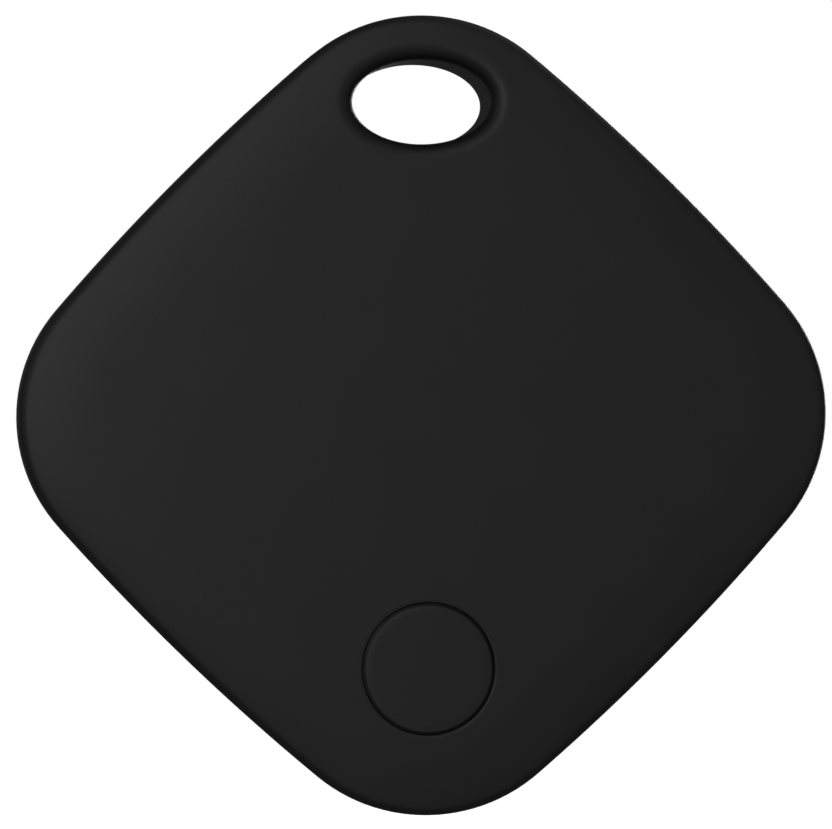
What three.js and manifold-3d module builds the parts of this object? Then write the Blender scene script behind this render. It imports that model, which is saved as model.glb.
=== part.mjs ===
// A small tracker tag: a rounded square case that hangs from one corner, with a keyring hole in the
// top corner and a flush push button in the bottom corner. A coin cell, a circuit board and a piezo
// sounder are inside. Millimetres, +Z up, the front face looks along -Y, +X is to the right as seen
// from the front. The origin is the centre of the keyring hole at half the case's thickness.
import * as THREE from "three";
import { mergeVertices } from "three/addons/utils/BufferGeometryUtils.js";
import Module from "manifold-3d";

const wasm = await Module();
wasm.setup();

// ---------- driving dimensions ----------

// Case outline, measured from the case's centre before the slight squash in height.
const CORNER_REACH = 22; // centre to each corner tip
const SIDE_REACH = 18.61; // centre to the middle of each side
const CORNER_R = 9.25;
const HEIGHT_RATIO = 0.9864; // height over width
const BODY_Z = -17; // case centre, below the keyring hole
const CORNER_STEPS = 8;
const SIDE_STEPS = 4;

// Case thickness and walls.
const HALF_THICK = 4;
const FACE_WALL = 1;
const SIDE_WALL = 1.2;
const FRONT_EDGE_R = 0.8;
const REAR_EDGE_R = 1.3;
const DOME_SAG = 0.45; // fall of the front face from its middle to the corner tips
const CROWN_REACH = 5.5; // how far in from the edge the front face starts to fall away
const CROWN_DROP = 0.9;
const CROWN_SPARE = 1; // the falling curve ends this far outside the outline
const PARTING_Y = 1.2;
const PARTING_GAP = 0.15;

// Keyring hole.
const EYE_HALF_X = 3.8;
const EYE_HALF_Z = 2.45;
const EYE_LIP_R = 0.7;
const EYE_WALL = 1;
const EYE_FALL = 0.35; // how far the front face has fallen at the hole
const EYE_SHELF_Z = -1.2; // the case is solid above this height, round the hole

// Push button.
const BUTTON_Z = BODY_Z - 13.7;
const BUTTON_R = 3.4;
const BUTTON_GAP = 0.22;
const FLANGE_R = 4.2;
const FLANGE_REAR = -2.85;
const FLANGE_POCKET = { r: 4.5, y: -3.25 };
const STEM_R = 0.9;

// Switch under the button: base, snap dome, pin and folded lid. The dome leaves room for a
// stroke of 0.2.
const SWITCH = { half: 2.3, front: -2.27, wellR: 1.7, wellY: -1.95 };
const SNAP_DOME = { r: 1.5, shoulderR: 1.2, crownR: 0.7, rise: 0.28, thick: 0.06 };
const PIN = { front: -2.75, r: 0.8, footR: 1.15, footTall: 0.1 };
const LID = { front: -2.55, sheet: 0.1, fold: 0.2, tabRear: -1.95, tabHalf: 1, holeR: 0.9 };
const CLEAR = 0.01; // smallest gap between pieces that touch

// Board, cell, screws and sounder.
const BOARD_INSET = 1.6;
const BOARD_Y = { front: -1.8, rear: -1 };
const CELL = { r: 10, front: -0.6, rear: 2.6, can: 0.25, step: 0.2, crimp: 0.75, lidIn: 1.25 };
const CELL_GROMMET = { inner: 1.2, outer: 0.8, wall: 0.26, lidGap: 0.02 };
const PAD_R = 7;
const PLUS_SPRING = { thick: 0.15, wide: 4.2 };
const MINUS_SPRING = { thick: 0.12, wide: 3 };
const TRAY = { inner: 10.2, outer: 11, rear: 1.4, ledgeInner: 8.9, ledgeRear: -0.65 };
const EAR = { reach: 13.3, r: 1.8, rear: -0.2 };
const SCREW = { shankR: 0.6, headR: 1.25, headTall: 0.6, tip: -3.1, holeR: 0.62, clearR: 0.75 };
const SCREW_ANGLES = [45, 135, 225];
const CLIP_ANGLE = 315;
const BUZZER = { plateR: 7.5, plate: 0.18, ceramicR: 5.2, ceramic: 0.2 };
const TAPE_RING = { inner: 6.3, outer: 7.3, thick: 0.08 };
const WIRE_R = 0.17;

// Cover: its lip, seal and snap fingers, as insets from the outline.
const LIP = { outer: 1.9, inner: 2.6, front: 0.3 };
const SEAL = { outer: 1.26, inner: 1.84, front: 0.64, rear: 1.22 };
const FINGER = { long: 5, barb: 1.55, barbFront: -0.75, barbRear: -0.25 };
const CATCH = { long: 6, proud: 0.25, front: -0.1, rear: 0.2 };
const COIN_NOTCH = { wide: 8, deep: 0.9, rear: 2.1 };

const JOIN = 0.02; // glue or solder line left between two pieces that lie on each other
const RIM = 0.05; // how far joined shapes run into each other
const FAR = 60;
const ROUND_SIDES = 36;

// ---------- joining and cutting ----------

function solid(geometry) {
  const bare = geometry.clone();
  bare.deleteAttribute("normal");
  bare.deleteAttribute("uv");
  const merged = mergeVertices(bare, 1e-4);
  return new wasm.Manifold(
    new wasm.Mesh({
      numProp: 3,
      vertProperties: new Float32Array(merged.attributes.position.array),
      triVerts: new Uint32Array(merged.index.array),
    }),
  );
}

const join = (first, ...rest) => rest.reduce((whole, more) => whole.add(more), first);
const cut = (first, ...rest) => rest.reduce((whole, less) => whole.subtract(less), first);

function geometryOf(shape) {
  const mesh = shape.getMesh();
  const geometry = new THREE.BufferGeometry();
  geometry.setAttribute("position", new THREE.BufferAttribute(mesh.vertProperties, 3));
  geometry.setIndex(new THREE.BufferAttribute(mesh.triVerts, 1));
  const flat = geometry.toNonIndexed();
  flat.computeVertexNormals();
  return flat;
}

// ---------- basic shapes ----------

const degrees = THREE.MathUtils.degToRad;

// The outline drawn `inset` inside the case's own: round corners joined by gently bowed sides.
function caseOutline(inset) {
  const r = CORNER_R - inset;
  const side = SIDE_REACH - inset;
  const k = CORNER_REACH - CORNER_R; // centre to the centre of a corner arc
  const bow =
    (Math.SQRT2 * k * side - k * k - side * side + r * r) / (Math.SQRT2 * k - 2 * side + 2 * r);
  const c = (side - bow) / Math.SQRT2;
  const meet = Math.atan2(-c, k - c); // where a corner arc turns into a side
  const corner = new THREE.EllipseCurve(k, 0, r, r, -meet, meet).getPoints(CORNER_STEPS);
  const flank = new THREE.EllipseCurve(c, c, bow, bow, meet, Math.PI / 2 - meet);
  const quarter = [...corner, ...flank.getPoints(SIDE_STEPS).slice(1, -1)];
  const points = [];
  for (let turn = 0; turn < 4; turn++) {
    for (const p of quarter) {
      const q = p.clone().rotateAround(new THREE.Vector2(), (turn * Math.PI) / 2);
      points.push(new THREE.Vector2(q.x, q.y * HEIGHT_RATIO + BODY_Z));
    }
  }
  return new THREE.Shape(points);
}

// A flat outline made into a plate from y0 to y1. With `edge`, both faces are rounded off
// by edge.in across the face and edge.down through the thickness.
function plate(shape, y0, y1, edge) {
  const down = edge ? edge.down : 0;
  const geometry = new THREE.ExtrudeGeometry(shape, {
    depth: y1 - y0 - 2 * down,
    steps: 1,
    curveSegments: 16,
    bevelEnabled: Boolean(edge),
    bevelThickness: down,
    bevelSize: edge ? edge.in : 0,
    bevelOffset: edge ? -edge.in : 0,
    bevelSegments: edge ? edge.steps : 0,
  });
  return geometry.rotateX(Math.PI / 2).translate(0, y1 - down, 0);
}

function disc(r, y0, y1, x = 0, z = BODY_Z, sides = ROUND_SIDES) {
  return new THREE.CylinderGeometry(r, r, y1 - y0, sides).translate(x, (y0 + y1) / 2, z);
}

function box(x0, x1, y0, y1, z0, z1) {
  const geometry = new THREE.BoxGeometry(x1 - x0, y1 - y0, z1 - z0);
  return geometry.translate((x0 + x1) / 2, (y0 + y1) / 2, (z0 + z1) / 2);
}

// A shape turned about the Y axis from a profile of [radius, y] pairs.
function turned(profile, x = 0, z = BODY_Z, sides = ROUND_SIDES) {
  const points = profile.map(([r, y]) => new THREE.Vector2(r, y));
  return new THREE.LatheGeometry(points, sides).translate(x, 0, z);
}

const ring = (inner, outer, y0, y1, x, z, sides) =>
  turned(
    [
      [outer, y0],
      [outer, y1],
      [inner, y1],
      [inner, y0],
      [outer, y0],
    ],
    x,
    z,
    sides,
  );

// An oval plug round the Y axis: each profile pair is [how far outside the hole's oval, y].
function ovalPlug(profile, sides = 40) {
  const points = profile.map(([extra, y]) => new THREE.Vector2(1 + extra, y));
  points.unshift(new THREE.Vector2(0, profile[0][1]));
  points.push(new THREE.Vector2(0, profile.at(-1)[1]));
  const geometry = new THREE.LatheGeometry(points, sides);
  const at = geometry.attributes.position;
  for (let i = 0; i < at.count; i++) {
    const away = Math.hypot(at.getX(i), at.getZ(i));
    if (away < 1e-6) continue;
    at.setX(i, (at.getX(i) / away) * (EYE_HALF_X + away - 1));
    at.setZ(i, (at.getZ(i) / away) * (EYE_HALF_Z + away - 1));
  }
  return geometry;
}

// A shape drawn with +X pointing outwards, set at an angle round the case's centre.
const setRound = (geometry, angle) =>
  geometry.rotateY(-degrees(angle)).translate(0, 0, BODY_Z);

// Sheet metal bent along a line of [x, y] points, `wide` across in Z.
function bentStrip(points, thick, wide) {
  const line = new THREE.CatmullRomCurve3(points.map(([x, y]) => new THREE.Vector3(x, y, 0)));
  const steps = points.length * 4;
  const near = [];
  const far = [];
  for (let i = 0; i <= steps; i++) {
    const at = line.getPoint(i / steps);
    const along = line.getTangent(i / steps);
    near.push(new THREE.Vector2(at.x - (along.y * thick) / 2, at.y + (along.x * thick) / 2));
    far.unshift(new THREE.Vector2(at.x + (along.y * thick) / 2, at.y - (along.x * thick) / 2));
  }
  const shape = new THREE.Shape([...near, ...far]);
  const geometry = new THREE.ExtrudeGeometry(shape, { depth: wide, steps: 1, bevelEnabled: false });
  return geometry.translate(0, 0, -wide / 2);
}

// ---------- finishes ----------

function finish(color, roughness, metalness = 0) {
  return new THREE.MeshStandardMaterial({ color, roughness, metalness });
}

const BLACK_ABS = finish(0x232323, 0.55);
const INNER_ABS = finish(0x3a3a3c, 0.6);
const SILICONE = finish(0x4a4d50, 0.7);
const FOAM = finish(0x2b2b2b, 0.95);
const SOLDER_MASK = finish(0x14532d, 0.4);
const CHIP_EPOXY = finish(0x18181a, 0.5);
const NICKEL = finish(0xc9c7c0, 0.3, 1);
const STEEL = finish(0xb9bbbd, 0.28, 1);
const GOLD = finish(0xd4af37, 0.3, 1);
const BRASS = finish(0xc8a24a, 0.35, 1);
const CERAMIC = finish(0xd9d2c3, 0.5);
const CAPACITOR_BODY = finish(0x8d6b4a, 0.5);
const NYLON = finish(0xe9e4d4, 0.55);
const TAPE = finish(0xf2f2ee, 0.6);
const RED_PVC = finish(0xb3201c, 0.45);
const BLACK_PVC = finish(0x1a1a1a, 0.45);

const tag = new THREE.Group();
tag.name = "tracker_tag";

function add(name, shape, material) {
  const geometry = shape.isBufferGeometry ? shape : geometryOf(shape);
  const mesh = new THREE.Mesh(geometry, material);
  mesh.name = name;
  tag.add(mesh);
}

// ---------- case ----------

// The gently domed front, as a plug that fills everything behind the dome.
function domePlug() {
  const rings = 8;
  const profile = [];
  for (let i = 0; i <= rings; i++) {
    const r = (i / rings) * (CORNER_REACH + 2);
    profile.push([r, -HALF_THICK + DOME_SAG * (r / CORNER_REACH) ** 2]);
  }
  const reach = profile.at(-1)[0];
  return solid(turned([...profile, [reach, 2 * HALF_THICK], [0, 2 * HALF_THICK]]));
}

// The whole case as one lump, before it is split and hollowed: a flat back, round edges and
// a domed front face that falls away faster towards its edge.
function caseLump() {
  const frontRound = { in: FRONT_EDGE_R, down: FRONT_EDGE_R, steps: 4 };
  const rearRound = { in: REAR_EDGE_R, down: REAR_EDGE_R, steps: 4 };
  const fall = { in: CROWN_REACH, down: CROWN_DROP, steps: 5 };
  const frontSlab = solid(plate(caseOutline(0), -HALF_THICK, 2 * HALF_THICK, frontRound));
  const rearSlab = solid(plate(caseOutline(0), -2 * HALF_THICK, HALF_THICK, rearRound));
  const crown = solid(plate(caseOutline(-CROWN_SPARE), -HALF_THICK, 2 * HALF_THICK, fall));
  return frontSlab.intersect(rearSlab).intersect(crown).intersect(domePlug());
}

// Everything above the shelf and round the keyring hole, grown by `spare`.
function eyeBlock(spare) {
  const oval = ovalPlug([
    [EYE_WALL + spare, -2 * HALF_THICK],
    [EYE_WALL + spare, 2 * HALF_THICK],
  ]);
  const above = box(-FAR, FAR, -2 * HALF_THICK, 2 * HALF_THICK, EYE_SHELF_Z - spare, FAR);
  return join(solid(oval), solid(above));
}

// The room inside the walls, `inset` from the outline and `spare` clear of the eye block.
const room = (inset, y0, y1, spare = 0) =>
  cut(solid(plate(caseOutline(inset), y0, y1)), eyeBlock(spare));

// The keyring hole itself, with a rounded mouth on both faces.
function eyeHole() {
  const profile = [];
  const steps = 4;
  for (let i = 0; i <= steps; i++) {
    const turn = (i / steps) * (Math.PI / 2);
    profile.push([EYE_LIP_R * (1 - Math.sin(turn)), -HALF_THICK + EYE_LIP_R * (1 - Math.cos(turn))]);
  }
  const rear = profile.map(([extra, y]) => [extra, -y]).reverse();
  const front = profile.map(([extra, y]) => [extra, y + EYE_FALL]);
  const proud = HALF_THICK + 1;
  return solid(ovalPlug([[EYE_LIP_R, -proud], ...front, ...rear, [EYE_LIP_R, proud]]));
}

const lump = caseLump();
const hole = eyeHole();
const frontHalf = box(-FAR, FAR, -FAR, PARTING_Y - PARTING_GAP / 2, -FAR, FAR);
const rearHalf = box(-FAR, FAR, PARTING_Y + PARTING_GAP / 2, FAR, -FAR, FAR);
const SIDE_ANGLES = [45, 135, 225, 315];
const earAt = (angle) => ({
  x: EAR.reach * Math.cos(degrees(angle)),
  z: BODY_Z + EAR.reach * Math.sin(degrees(angle)),
});

function frontShell() {
  const innerFace = -HALF_THICK + FACE_WALL;
  const walls = cut(lump.intersect(solid(frontHalf)), room(SIDE_WALL, innerFace, FAR));
  const additions = [];
  for (const angle of SCREW_ANGLES) {
    const { x, z } = earAt(angle);
    additions.push(solid(disc(EAR.r, innerFace - RIM, BOARD_Y.front - JOIN, x, z, 24)));
  }
  // Catches on the inside of each side wall, which the cover's snap fingers click under.
  for (const angle of SIDE_ANGLES) {
    const wall = SIDE_REACH - SIDE_WALL;
    const half = CATCH.long / 2;
    const bar = box(wall - CATCH.proud, wall + RIM * 4, CATCH.front, CATCH.rear, -half, half);
    additions.push(solid(setRound(bar, angle)));
  }
  const buttonHole = disc(BUTTON_R + BUTTON_GAP, -FAR, 0, 0, BUTTON_Z);
  const pocket = disc(FLANGE_POCKET.r, FLANGE_POCKET.y, 0, 0, BUTTON_Z);
  const pilots = SCREW_ANGLES.map((angle) => {
    const { x, z } = earAt(angle);
    return solid(disc(SCREW.holeR, SCREW.tip - 0.1, 0, x, z, 24));
  });
  return cut(join(walls, ...additions), hole, solid(buttonHole), solid(pocket), ...pilots);
}

function rearCover() {
  const innerFace = HALF_THICK - FACE_WALL;
  const walls = cut(lump.intersect(solid(rearHalf)), room(LIP.inner, -FAR, innerFace));
  const spare = LIP.outer - SIDE_WALL;
  const lip = cut(
    room(LIP.outer, LIP.front, PARTING_Y + PARTING_GAP, spare),
    room(LIP.inner, -FAR, FAR, spare + LIP.inner - LIP.outer),
  );
  // Behind the eye block the lip carries on up to the inner face.
  const shelf = cut(
    room(LIP.outer, PARTING_Y + PARTING_GAP / 2, innerFace + RIM),
    room(LIP.inner, -FAR, FAR, spare + LIP.inner - LIP.outer),
  );
  const fingers = [];
  for (const angle of SIDE_ANGLES) {
    const half = FINGER.long / 2;
    const inner = SIDE_REACH - LIP.inner;
    const stem = box(inner, SIDE_REACH - LIP.outer, FINGER.barbRear - RIM, LIP.front + RIM, -half, half);
    const barb = box(inner, SIDE_REACH - FINGER.barb, FINGER.barbFront, FINGER.barbRear, -half, half);
    fingers.push(solid(setRound(stem, angle)), solid(setRound(barb, angle)));
  }
  const low = BODY_Z - CORNER_REACH * HEIGHT_RATIO;
  const notch = box(
    -COIN_NOTCH.wide / 2,
    COIN_NOTCH.wide / 2,
    0,
    COIN_NOTCH.rear,
    low - 1,
    low + COIN_NOTCH.deep,
  );
  return cut(join(walls, lip, shelf, ...fingers), hole, solid(notch));
}

// A soft square-section ring on the outside of the cover's lip, which runs below the keyring hole.
function caseGasket() {
  const outerSpare = SEAL.outer - SIDE_WALL;
  const innerSpare = SEAL.inner - SIDE_WALL;
  return cut(
    room(SEAL.outer, SEAL.front, SEAL.rear, outerSpare),
    room(SEAL.inner, -FAR, FAR, innerSpare),
  );
}

add("front_shell", frontShell(), BLACK_ABS);
add("rear_cover", rearCover(), BLACK_ABS);
add("case_gasket", caseGasket(), SILICONE);

// ---------- button and the switch under it ----------

// The cap's face is part of the same dome as the case round it.
function buttonCap() {
  const body = turned(
    [
      [0, -HALF_THICK - 1],
      [BUTTON_R, -HALF_THICK - 1],
      [BUTTON_R, FLANGE_POCKET.y + JOIN],
      [FLANGE_R, FLANGE_POCKET.y + JOIN],
      [FLANGE_R, FLANGE_REAR],
      [STEM_R, FLANGE_REAR],
      [STEM_R, PIN.front - JOIN],
      [0, PIN.front - JOIN],
    ],
    0,
    BUTTON_Z,
  );
  return solid(body).intersect(domePlug());
}

function switchBase() {
  const { half, front } = SWITCH;
  const rear = BOARD_Y.front - JOIN;
  const block = box(-half, half, front, rear, BUTTON_Z - half, BUTTON_Z + half);
  return cut(solid(block), solid(disc(SWITCH.wellR, -FAR, SWITCH.wellY, 0, BUTTON_Z, 32)));
}

// A thin snap dome standing on the floor of the switch's well.
function switchDome() {
  const { r, shoulderR, crownR, rise, thick } = SNAP_DOME;
  const rim = SWITCH.wellY - CLEAR;
  const shoulder = rim - rise * 0.6;
  const crown = rim - rise * 0.92;
  return turned(
    [
      [0, rim - rise],
      [crownR, crown],
      [shoulderR, shoulder],
      [r, rim - thick],
      [r, rim],
      [shoulderR, shoulder + thick],
      [crownR, crown + thick],
      [0, rim - rise + thick],
    ],
    0,
    BUTTON_Z,
    32,
  );
}

function switchPlunger() {
  const foot = SWITCH.wellY - CLEAR - SNAP_DOME.rise - JOIN;
  return turned(
    [
      [0, PIN.front],
      [PIN.r, PIN.front],
      [PIN.r, foot - PIN.footTall],
      [PIN.footR, foot - PIN.footTall],
      [PIN.footR, foot],
      [0, foot],
    ],
    0,
    BUTTON_Z,
    32,
  );
}

function switchCover() {
  const { half } = SWITCH;
  const reach = half + LID.fold; // the sheet folds down over two sides of the base
  const back = LID.front + LID.sheet;
  const sheet = box(-reach, reach, LID.front, back, BUTTON_Z - half, BUTTON_Z + half);
  const sides = [-1, 1].map((side) => {
    const [x0, x1] = [side * (half + JOIN), side * reach].sort((a, b) => a - b);
    const [z0, z1] = [BUTTON_Z - LID.tabHalf, BUTTON_Z + LID.tabHalf];
    return solid(box(x0, x1, back - RIM, LID.tabRear, z0, z1));
  });
  return cut(join(solid(sheet), ...sides), solid(disc(LID.holeR, -FAR, 0, 0, BUTTON_Z, 32)));
}

add("button_cap", buttonCap(), BLACK_ABS);
add("switch_base", switchBase(), CHIP_EPOXY);
add("switch_dome", switchDome(), STEEL);
add("switch_plunger", switchPlunger(), NYLON);
add("switch_cover", switchCover(), STEEL);

// ---------- circuit board and what is soldered to it ----------

function circuitBoard() {
  const board = room(BOARD_INSET, BOARD_Y.front, BOARD_Y.rear, BOARD_INSET - SIDE_WALL);
  const holes = SCREW_ANGLES.map((angle) => {
    const { x, z } = earAt(angle);
    return solid(disc(SCREW.clearR, -FAR, FAR, x, z, 24));
  });
  return cut(board, ...holes);
}

add("circuit_board", circuitBoard(), SOLDER_MASK);

// Name, size in X, Z and height off the board, place from the case's centre in X and Z, finish.
const CHIPS = [
  ["radio_chip", 5, 5, 0.85, -15, 0.4, CHIP_EPOXY],
  ["main_crystal", 2.5, 2, 0.6, -13.7, 4.8, NICKEL],
  ["clock_crystal", 3.2, 1.5, 0.75, -13.5, -4.3, NICKEL],
  ["chip_antenna", 2, 5, 1, 18.1, 0, CERAMIC],
  ["motion_sensor", 2, 2, 0.9, 13.2, 4.6, CHIP_EPOXY],
  ["boost_inductor", 3, 3, 1.15, 13.7, -2.9, CHIP_EPOXY],
  ["capacitor_1", 1.6, 0.8, 0.8, -16.6, 4.2, CAPACITOR_BODY],
  ["capacitor_2", 0.8, 1.6, 0.8, -18.6, 1.4, CAPACITOR_BODY],
  ["capacitor_3", 0.8, 1.6, 0.8, -18.6, -1, CAPACITOR_BODY],
  ["capacitor_4", 1.6, 0.8, 0.8, -16.4, -3.4, CAPACITOR_BODY],
  ["capacitor_5", 1.6, 0.8, 0.8, 13.1, 1.6, CAPACITOR_BODY],
  ["capacitor_6", 1.6, 0.8, 0.8, 13.1, 0.2, CAPACITOR_BODY],
  ["resistor_1", 0.5, 1, 0.35, 15.9, 1.6, CHIP_EPOXY],
  ["resistor_2", 0.5, 1, 0.35, 15.9, 0, CHIP_EPOXY],
  ["resistor_3", 1, 0.5, 0.35, 13.2, -5.6, CHIP_EPOXY],
  ["resistor_4", 1, 0.5, 0.35, -13.6, -6.2, CHIP_EPOXY],
];
for (const [name, wide, tall, high, x, z, material] of CHIPS) {
  const foot = BOARD_Y.rear + JOIN;
  const low = BODY_Z + z - tall / 2;
  add(name, box(x - wide / 2, x + wide / 2, foot, foot + high, low, low + tall), material);
}

// ---------- cell, its tray and contacts ----------

function cellCan() {
  const { r, rear, front, can, step, crimp } = CELL;
  const lip = front + step;
  return turned([
    [r - crimp, lip],
    [r - step, lip],
    [r, lip + can],
    [r, rear - step],
    [r - step, rear],
    [0, rear],
    [0, rear - can],
    [r - can, rear - can],
    [r - can, lip + can],
    [r - crimp, lip + can],
    [r - crimp, lip],
  ]);
}

// The lid with the cell's filling behind it.
function cellLid() {
  const { r, rear, front, can, step, lidIn } = CELL;
  const fillingR = r - can - 0.35;
  const fillingRear = rear - can - 0.05;
  return turned([
    [0, front],
    [r - lidIn - can, front],
    [r - lidIn, front + step],
    [r - lidIn, front + 0.6],
    [fillingR, front + 0.75],
    [fillingR, fillingRear],
    [0, fillingRear],
  ]);
}

function cellGrommet() {
  const { r, rear, front, can, step } = CELL;
  const { inner, outer, wall, lidGap } = CELL_GROMMET;
  const foot = front + step + lidGap;
  const shoulder = front + step + can + 0.03;
  const top = rear - can - 0.3;
  const out = r - can - 0.04;
  return turned([
    [r - inner, foot],
    [r - outer, foot],
    [r - outer, shoulder],
    [out, shoulder],
    [out, top],
    [out - wall, top],
    [out - wall, front + 0.68],
    [r - inner, front + 0.56],
    [r - inner, foot],
  ]);
}

function batteryTray() {
  const foot = BOARD_Y.rear + JOIN;
  const wall = solid(ring(TRAY.inner, TRAY.outer, foot, TRAY.rear));
  const ledge = solid(ring(TRAY.ledgeInner, TRAY.inner + RIM, foot, TRAY.ledgeRear));
  const ears = SCREW_ANGLES.map((angle) => {
    const arm = box(TRAY.outer - 0.4, EAR.reach, foot, EAR.rear, -EAR.r, EAR.r);
    const { x, z } = earAt(angle);
    return join(solid(setRound(arm, angle)), solid(disc(EAR.r, foot, EAR.rear, x, z, 24)));
  });
  const holes = SCREW_ANGLES.map((angle) => {
    const { x, z } = earAt(angle);
    return solid(disc(SCREW.clearR, -FAR, FAR, x, z, 24));
  });
  const window = solid(setRound(box(8, 14, -1.5, FAR, -2.6, 2.6), CLIP_ANGLE));
  const fingerGap = solid(setRound(box(8, 14, 0.2, FAR, -4, 4), 180));
  return cut(join(wall, ledge, ...ears), ...holes, window, fingerGap);
}

function positiveClip() {
  const { thick, wide } = PLUS_SPRING;
  const foot = BOARD_Y.rear + JOIN + thick / 2;
  const line = [
    [13.6, foot],
    [12.4, foot],
    [11.3, foot + 0.04],
    [10.85, foot + 0.5],
    [10.16, 0.8],
    [10.5, 1.5],
  ];
  return setRound(bentStrip(line, thick, wide), CLIP_ANGLE);
}

function negativeContact() {
  const { thick, wide } = MINUS_SPRING;
  const foot = BOARD_Y.rear + JOIN + thick / 2;
  const line = [
    [-5, foot],
    [-3.6, foot],
    [-2, foot],
    [1.2, foot + 0.16],
    [3, foot + 0.2],
    [4.4, foot + 0.1],
  ];
  return bentStrip(line, thick, wide).translate(0, 0, BODY_Z);
}

add("cell_can", cellCan(), STEEL);
add("cell_grommet", cellGrommet(), NYLON);
add("cell_lid", cellLid(), STEEL);
add("battery_tray", batteryTray(), INNER_ABS);
add("positive_clip", positiveClip(), GOLD);
add("negative_contact", negativeContact(), GOLD);
add("cell_pad", disc(PAD_R, CELL.rear + JOIN, HALF_THICK - FACE_WALL - JOIN), FOAM);

// ---------- screws ----------

function boardScrew(angle) {
  const { x, z } = earAt(angle);
  const seat = EAR.rear + JOIN;
  const top = seat + SCREW.headTall;
  const body = turned(
    [
      [0, SCREW.tip],
      [SCREW.shankR - 0.2, SCREW.tip],
      [SCREW.shankR, SCREW.tip + 0.2],
      [SCREW.shankR, seat],
      [SCREW.headR, seat],
      [SCREW.headR, top - 0.2],
      [SCREW.headR - 0.2, top],
      [0, top],
    ],
    x,
    z,
    24,
  );
  const slots = [0, 90].map((turn) => {
    const bar = box(-0.75, 0.75, top - 0.35, top + 1, -0.14, 0.14);
    return solid(bar.rotateY(degrees(turn + angle)).translate(x, 0, z));
  });
  return cut(solid(body), ...slots);
}

SCREW_ANGLES.forEach((angle, i) => add("board_screw_" + (i + 1), boardScrew(angle), STEEL));

// ---------- piezo sounder, glued inside the front face ----------

const glueY = -HALF_THICK + FACE_WALL + JOIN;
const plateY = glueY + TAPE_RING.thick + JOIN;
const ceramicY = plateY + BUZZER.plate + JOIN;
const ceramicTop = ceramicY + BUZZER.ceramic;
add("buzzer_adhesive", ring(TAPE_RING.inner, TAPE_RING.outer, glueY, plateY - JOIN), TAPE);
add("buzzer_plate", disc(BUZZER.plateR, plateY, plateY + BUZZER.plate), BRASS);
add("buzzer_ceramic", disc(BUZZER.ceramicR, ceramicY, ceramicTop), CERAMIC);

// An insulated wire that lies on the sounder at one end and on the board at the other.
function wire(points) {
  const circle = new THREE.Shape();
  circle.absarc(0, 0, WIRE_R, 0, 2 * Math.PI);
  const spots = points.map(([x, y, z]) => new THREE.Vector3(x, y, z + BODY_Z));
  const path = new THREE.CatmullRomCurve3(spots);
  return new THREE.ExtrudeGeometry(circle, { extrudePath: path, steps: 16, curveSegments: 4 });
}

const onBoard = BOARD_Y.front - 0.2;
add(
  "buzzer_wire_red",
  wire([
    [2, ceramicTop + 0.2, 1.5],
    [4.2, ceramicTop + 0.22, 2.2],
    [6.4, ceramicTop + 0.26, 3.4],
    [8.6, onBoard - 0.08, 3.6],
    [10.4, onBoard, 2.8],
  ]),
  RED_PVC,
);
add(
  "buzzer_wire_black",
  wire([
    [6.2, plateY + 0.4, -1.4],
    [7.2, plateY + 0.45, -1.9],
    [8.4, onBoard - 0.12, -2.2],
    [9.4, onBoard - 0.02, -1.4],
    [10.6, onBoard, -0.6],
  ]),
  BLACK_PVC,
);

export default tag;
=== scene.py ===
# %% [markdown]
# # A tracker tag
#
# This lesson dresses a working model of a small black tracker tag. The working model comes from a
# CAD program: every part is there at its real size, with flat facets and plain colours.
# Here each part gets a fine surface and the finish of the real material. Nothing is moved: a new
# piece goes exactly where the working model says, and rides on the body it belongs to.

# %% Load the working model
import math

import bmesh
import bpy
from mathutils import Matrix, Quaternion, Vector
from mathutils.geometry import delaunay_2d_cdt


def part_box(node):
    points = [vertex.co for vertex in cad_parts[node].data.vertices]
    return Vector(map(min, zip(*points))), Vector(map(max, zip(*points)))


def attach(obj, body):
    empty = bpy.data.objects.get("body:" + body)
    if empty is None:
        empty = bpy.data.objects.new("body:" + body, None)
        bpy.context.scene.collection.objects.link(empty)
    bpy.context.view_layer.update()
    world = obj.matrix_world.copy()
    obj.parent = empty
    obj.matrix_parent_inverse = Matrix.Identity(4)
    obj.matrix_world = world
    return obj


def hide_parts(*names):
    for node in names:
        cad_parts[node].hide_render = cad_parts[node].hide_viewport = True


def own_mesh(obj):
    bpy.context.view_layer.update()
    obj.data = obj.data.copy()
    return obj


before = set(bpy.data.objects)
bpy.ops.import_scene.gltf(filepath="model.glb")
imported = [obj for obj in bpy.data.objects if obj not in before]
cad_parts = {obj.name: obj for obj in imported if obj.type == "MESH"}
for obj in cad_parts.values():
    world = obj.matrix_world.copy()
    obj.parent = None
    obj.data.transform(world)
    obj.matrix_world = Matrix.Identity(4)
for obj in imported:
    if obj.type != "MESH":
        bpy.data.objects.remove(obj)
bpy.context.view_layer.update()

MM = 0.001

# %% [markdown]
# ## Reading sizes off the working model
#
# The parts are drawn in millimetres, because a tag is a small thing and 0.7 is easier to read
# than 0.0007. Only the last step turns millimetres into Blender's metres. A part's own box tells
# where it starts and ends, so most sizes are read and not typed.


# %% Boxes in millimetres
def box_mm(node):
    """The lowest and the highest corner of a part's box, in mm."""
    low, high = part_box(node)
    return low / MM, high / MM


shell_low, shell_high = box_mm("front_shell")
_, cover_high = box_mm("rear_cover")
CENTRE_Z = (shell_low.z + shell_high.z) / 2
REACH = (shell_high.x - shell_low.x) / 2
SQUASH = (shell_high.z - shell_low.z) / (shell_high.x - shell_low.x)
FRONT_Y = shell_low.y
REAR_Y = cover_high.y
print(f"case {2 * REACH:.2f} mm wide, {REAR_Y - FRONT_Y:.2f} mm thick, centre at z {CENTRE_Z:.2f}")

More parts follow.
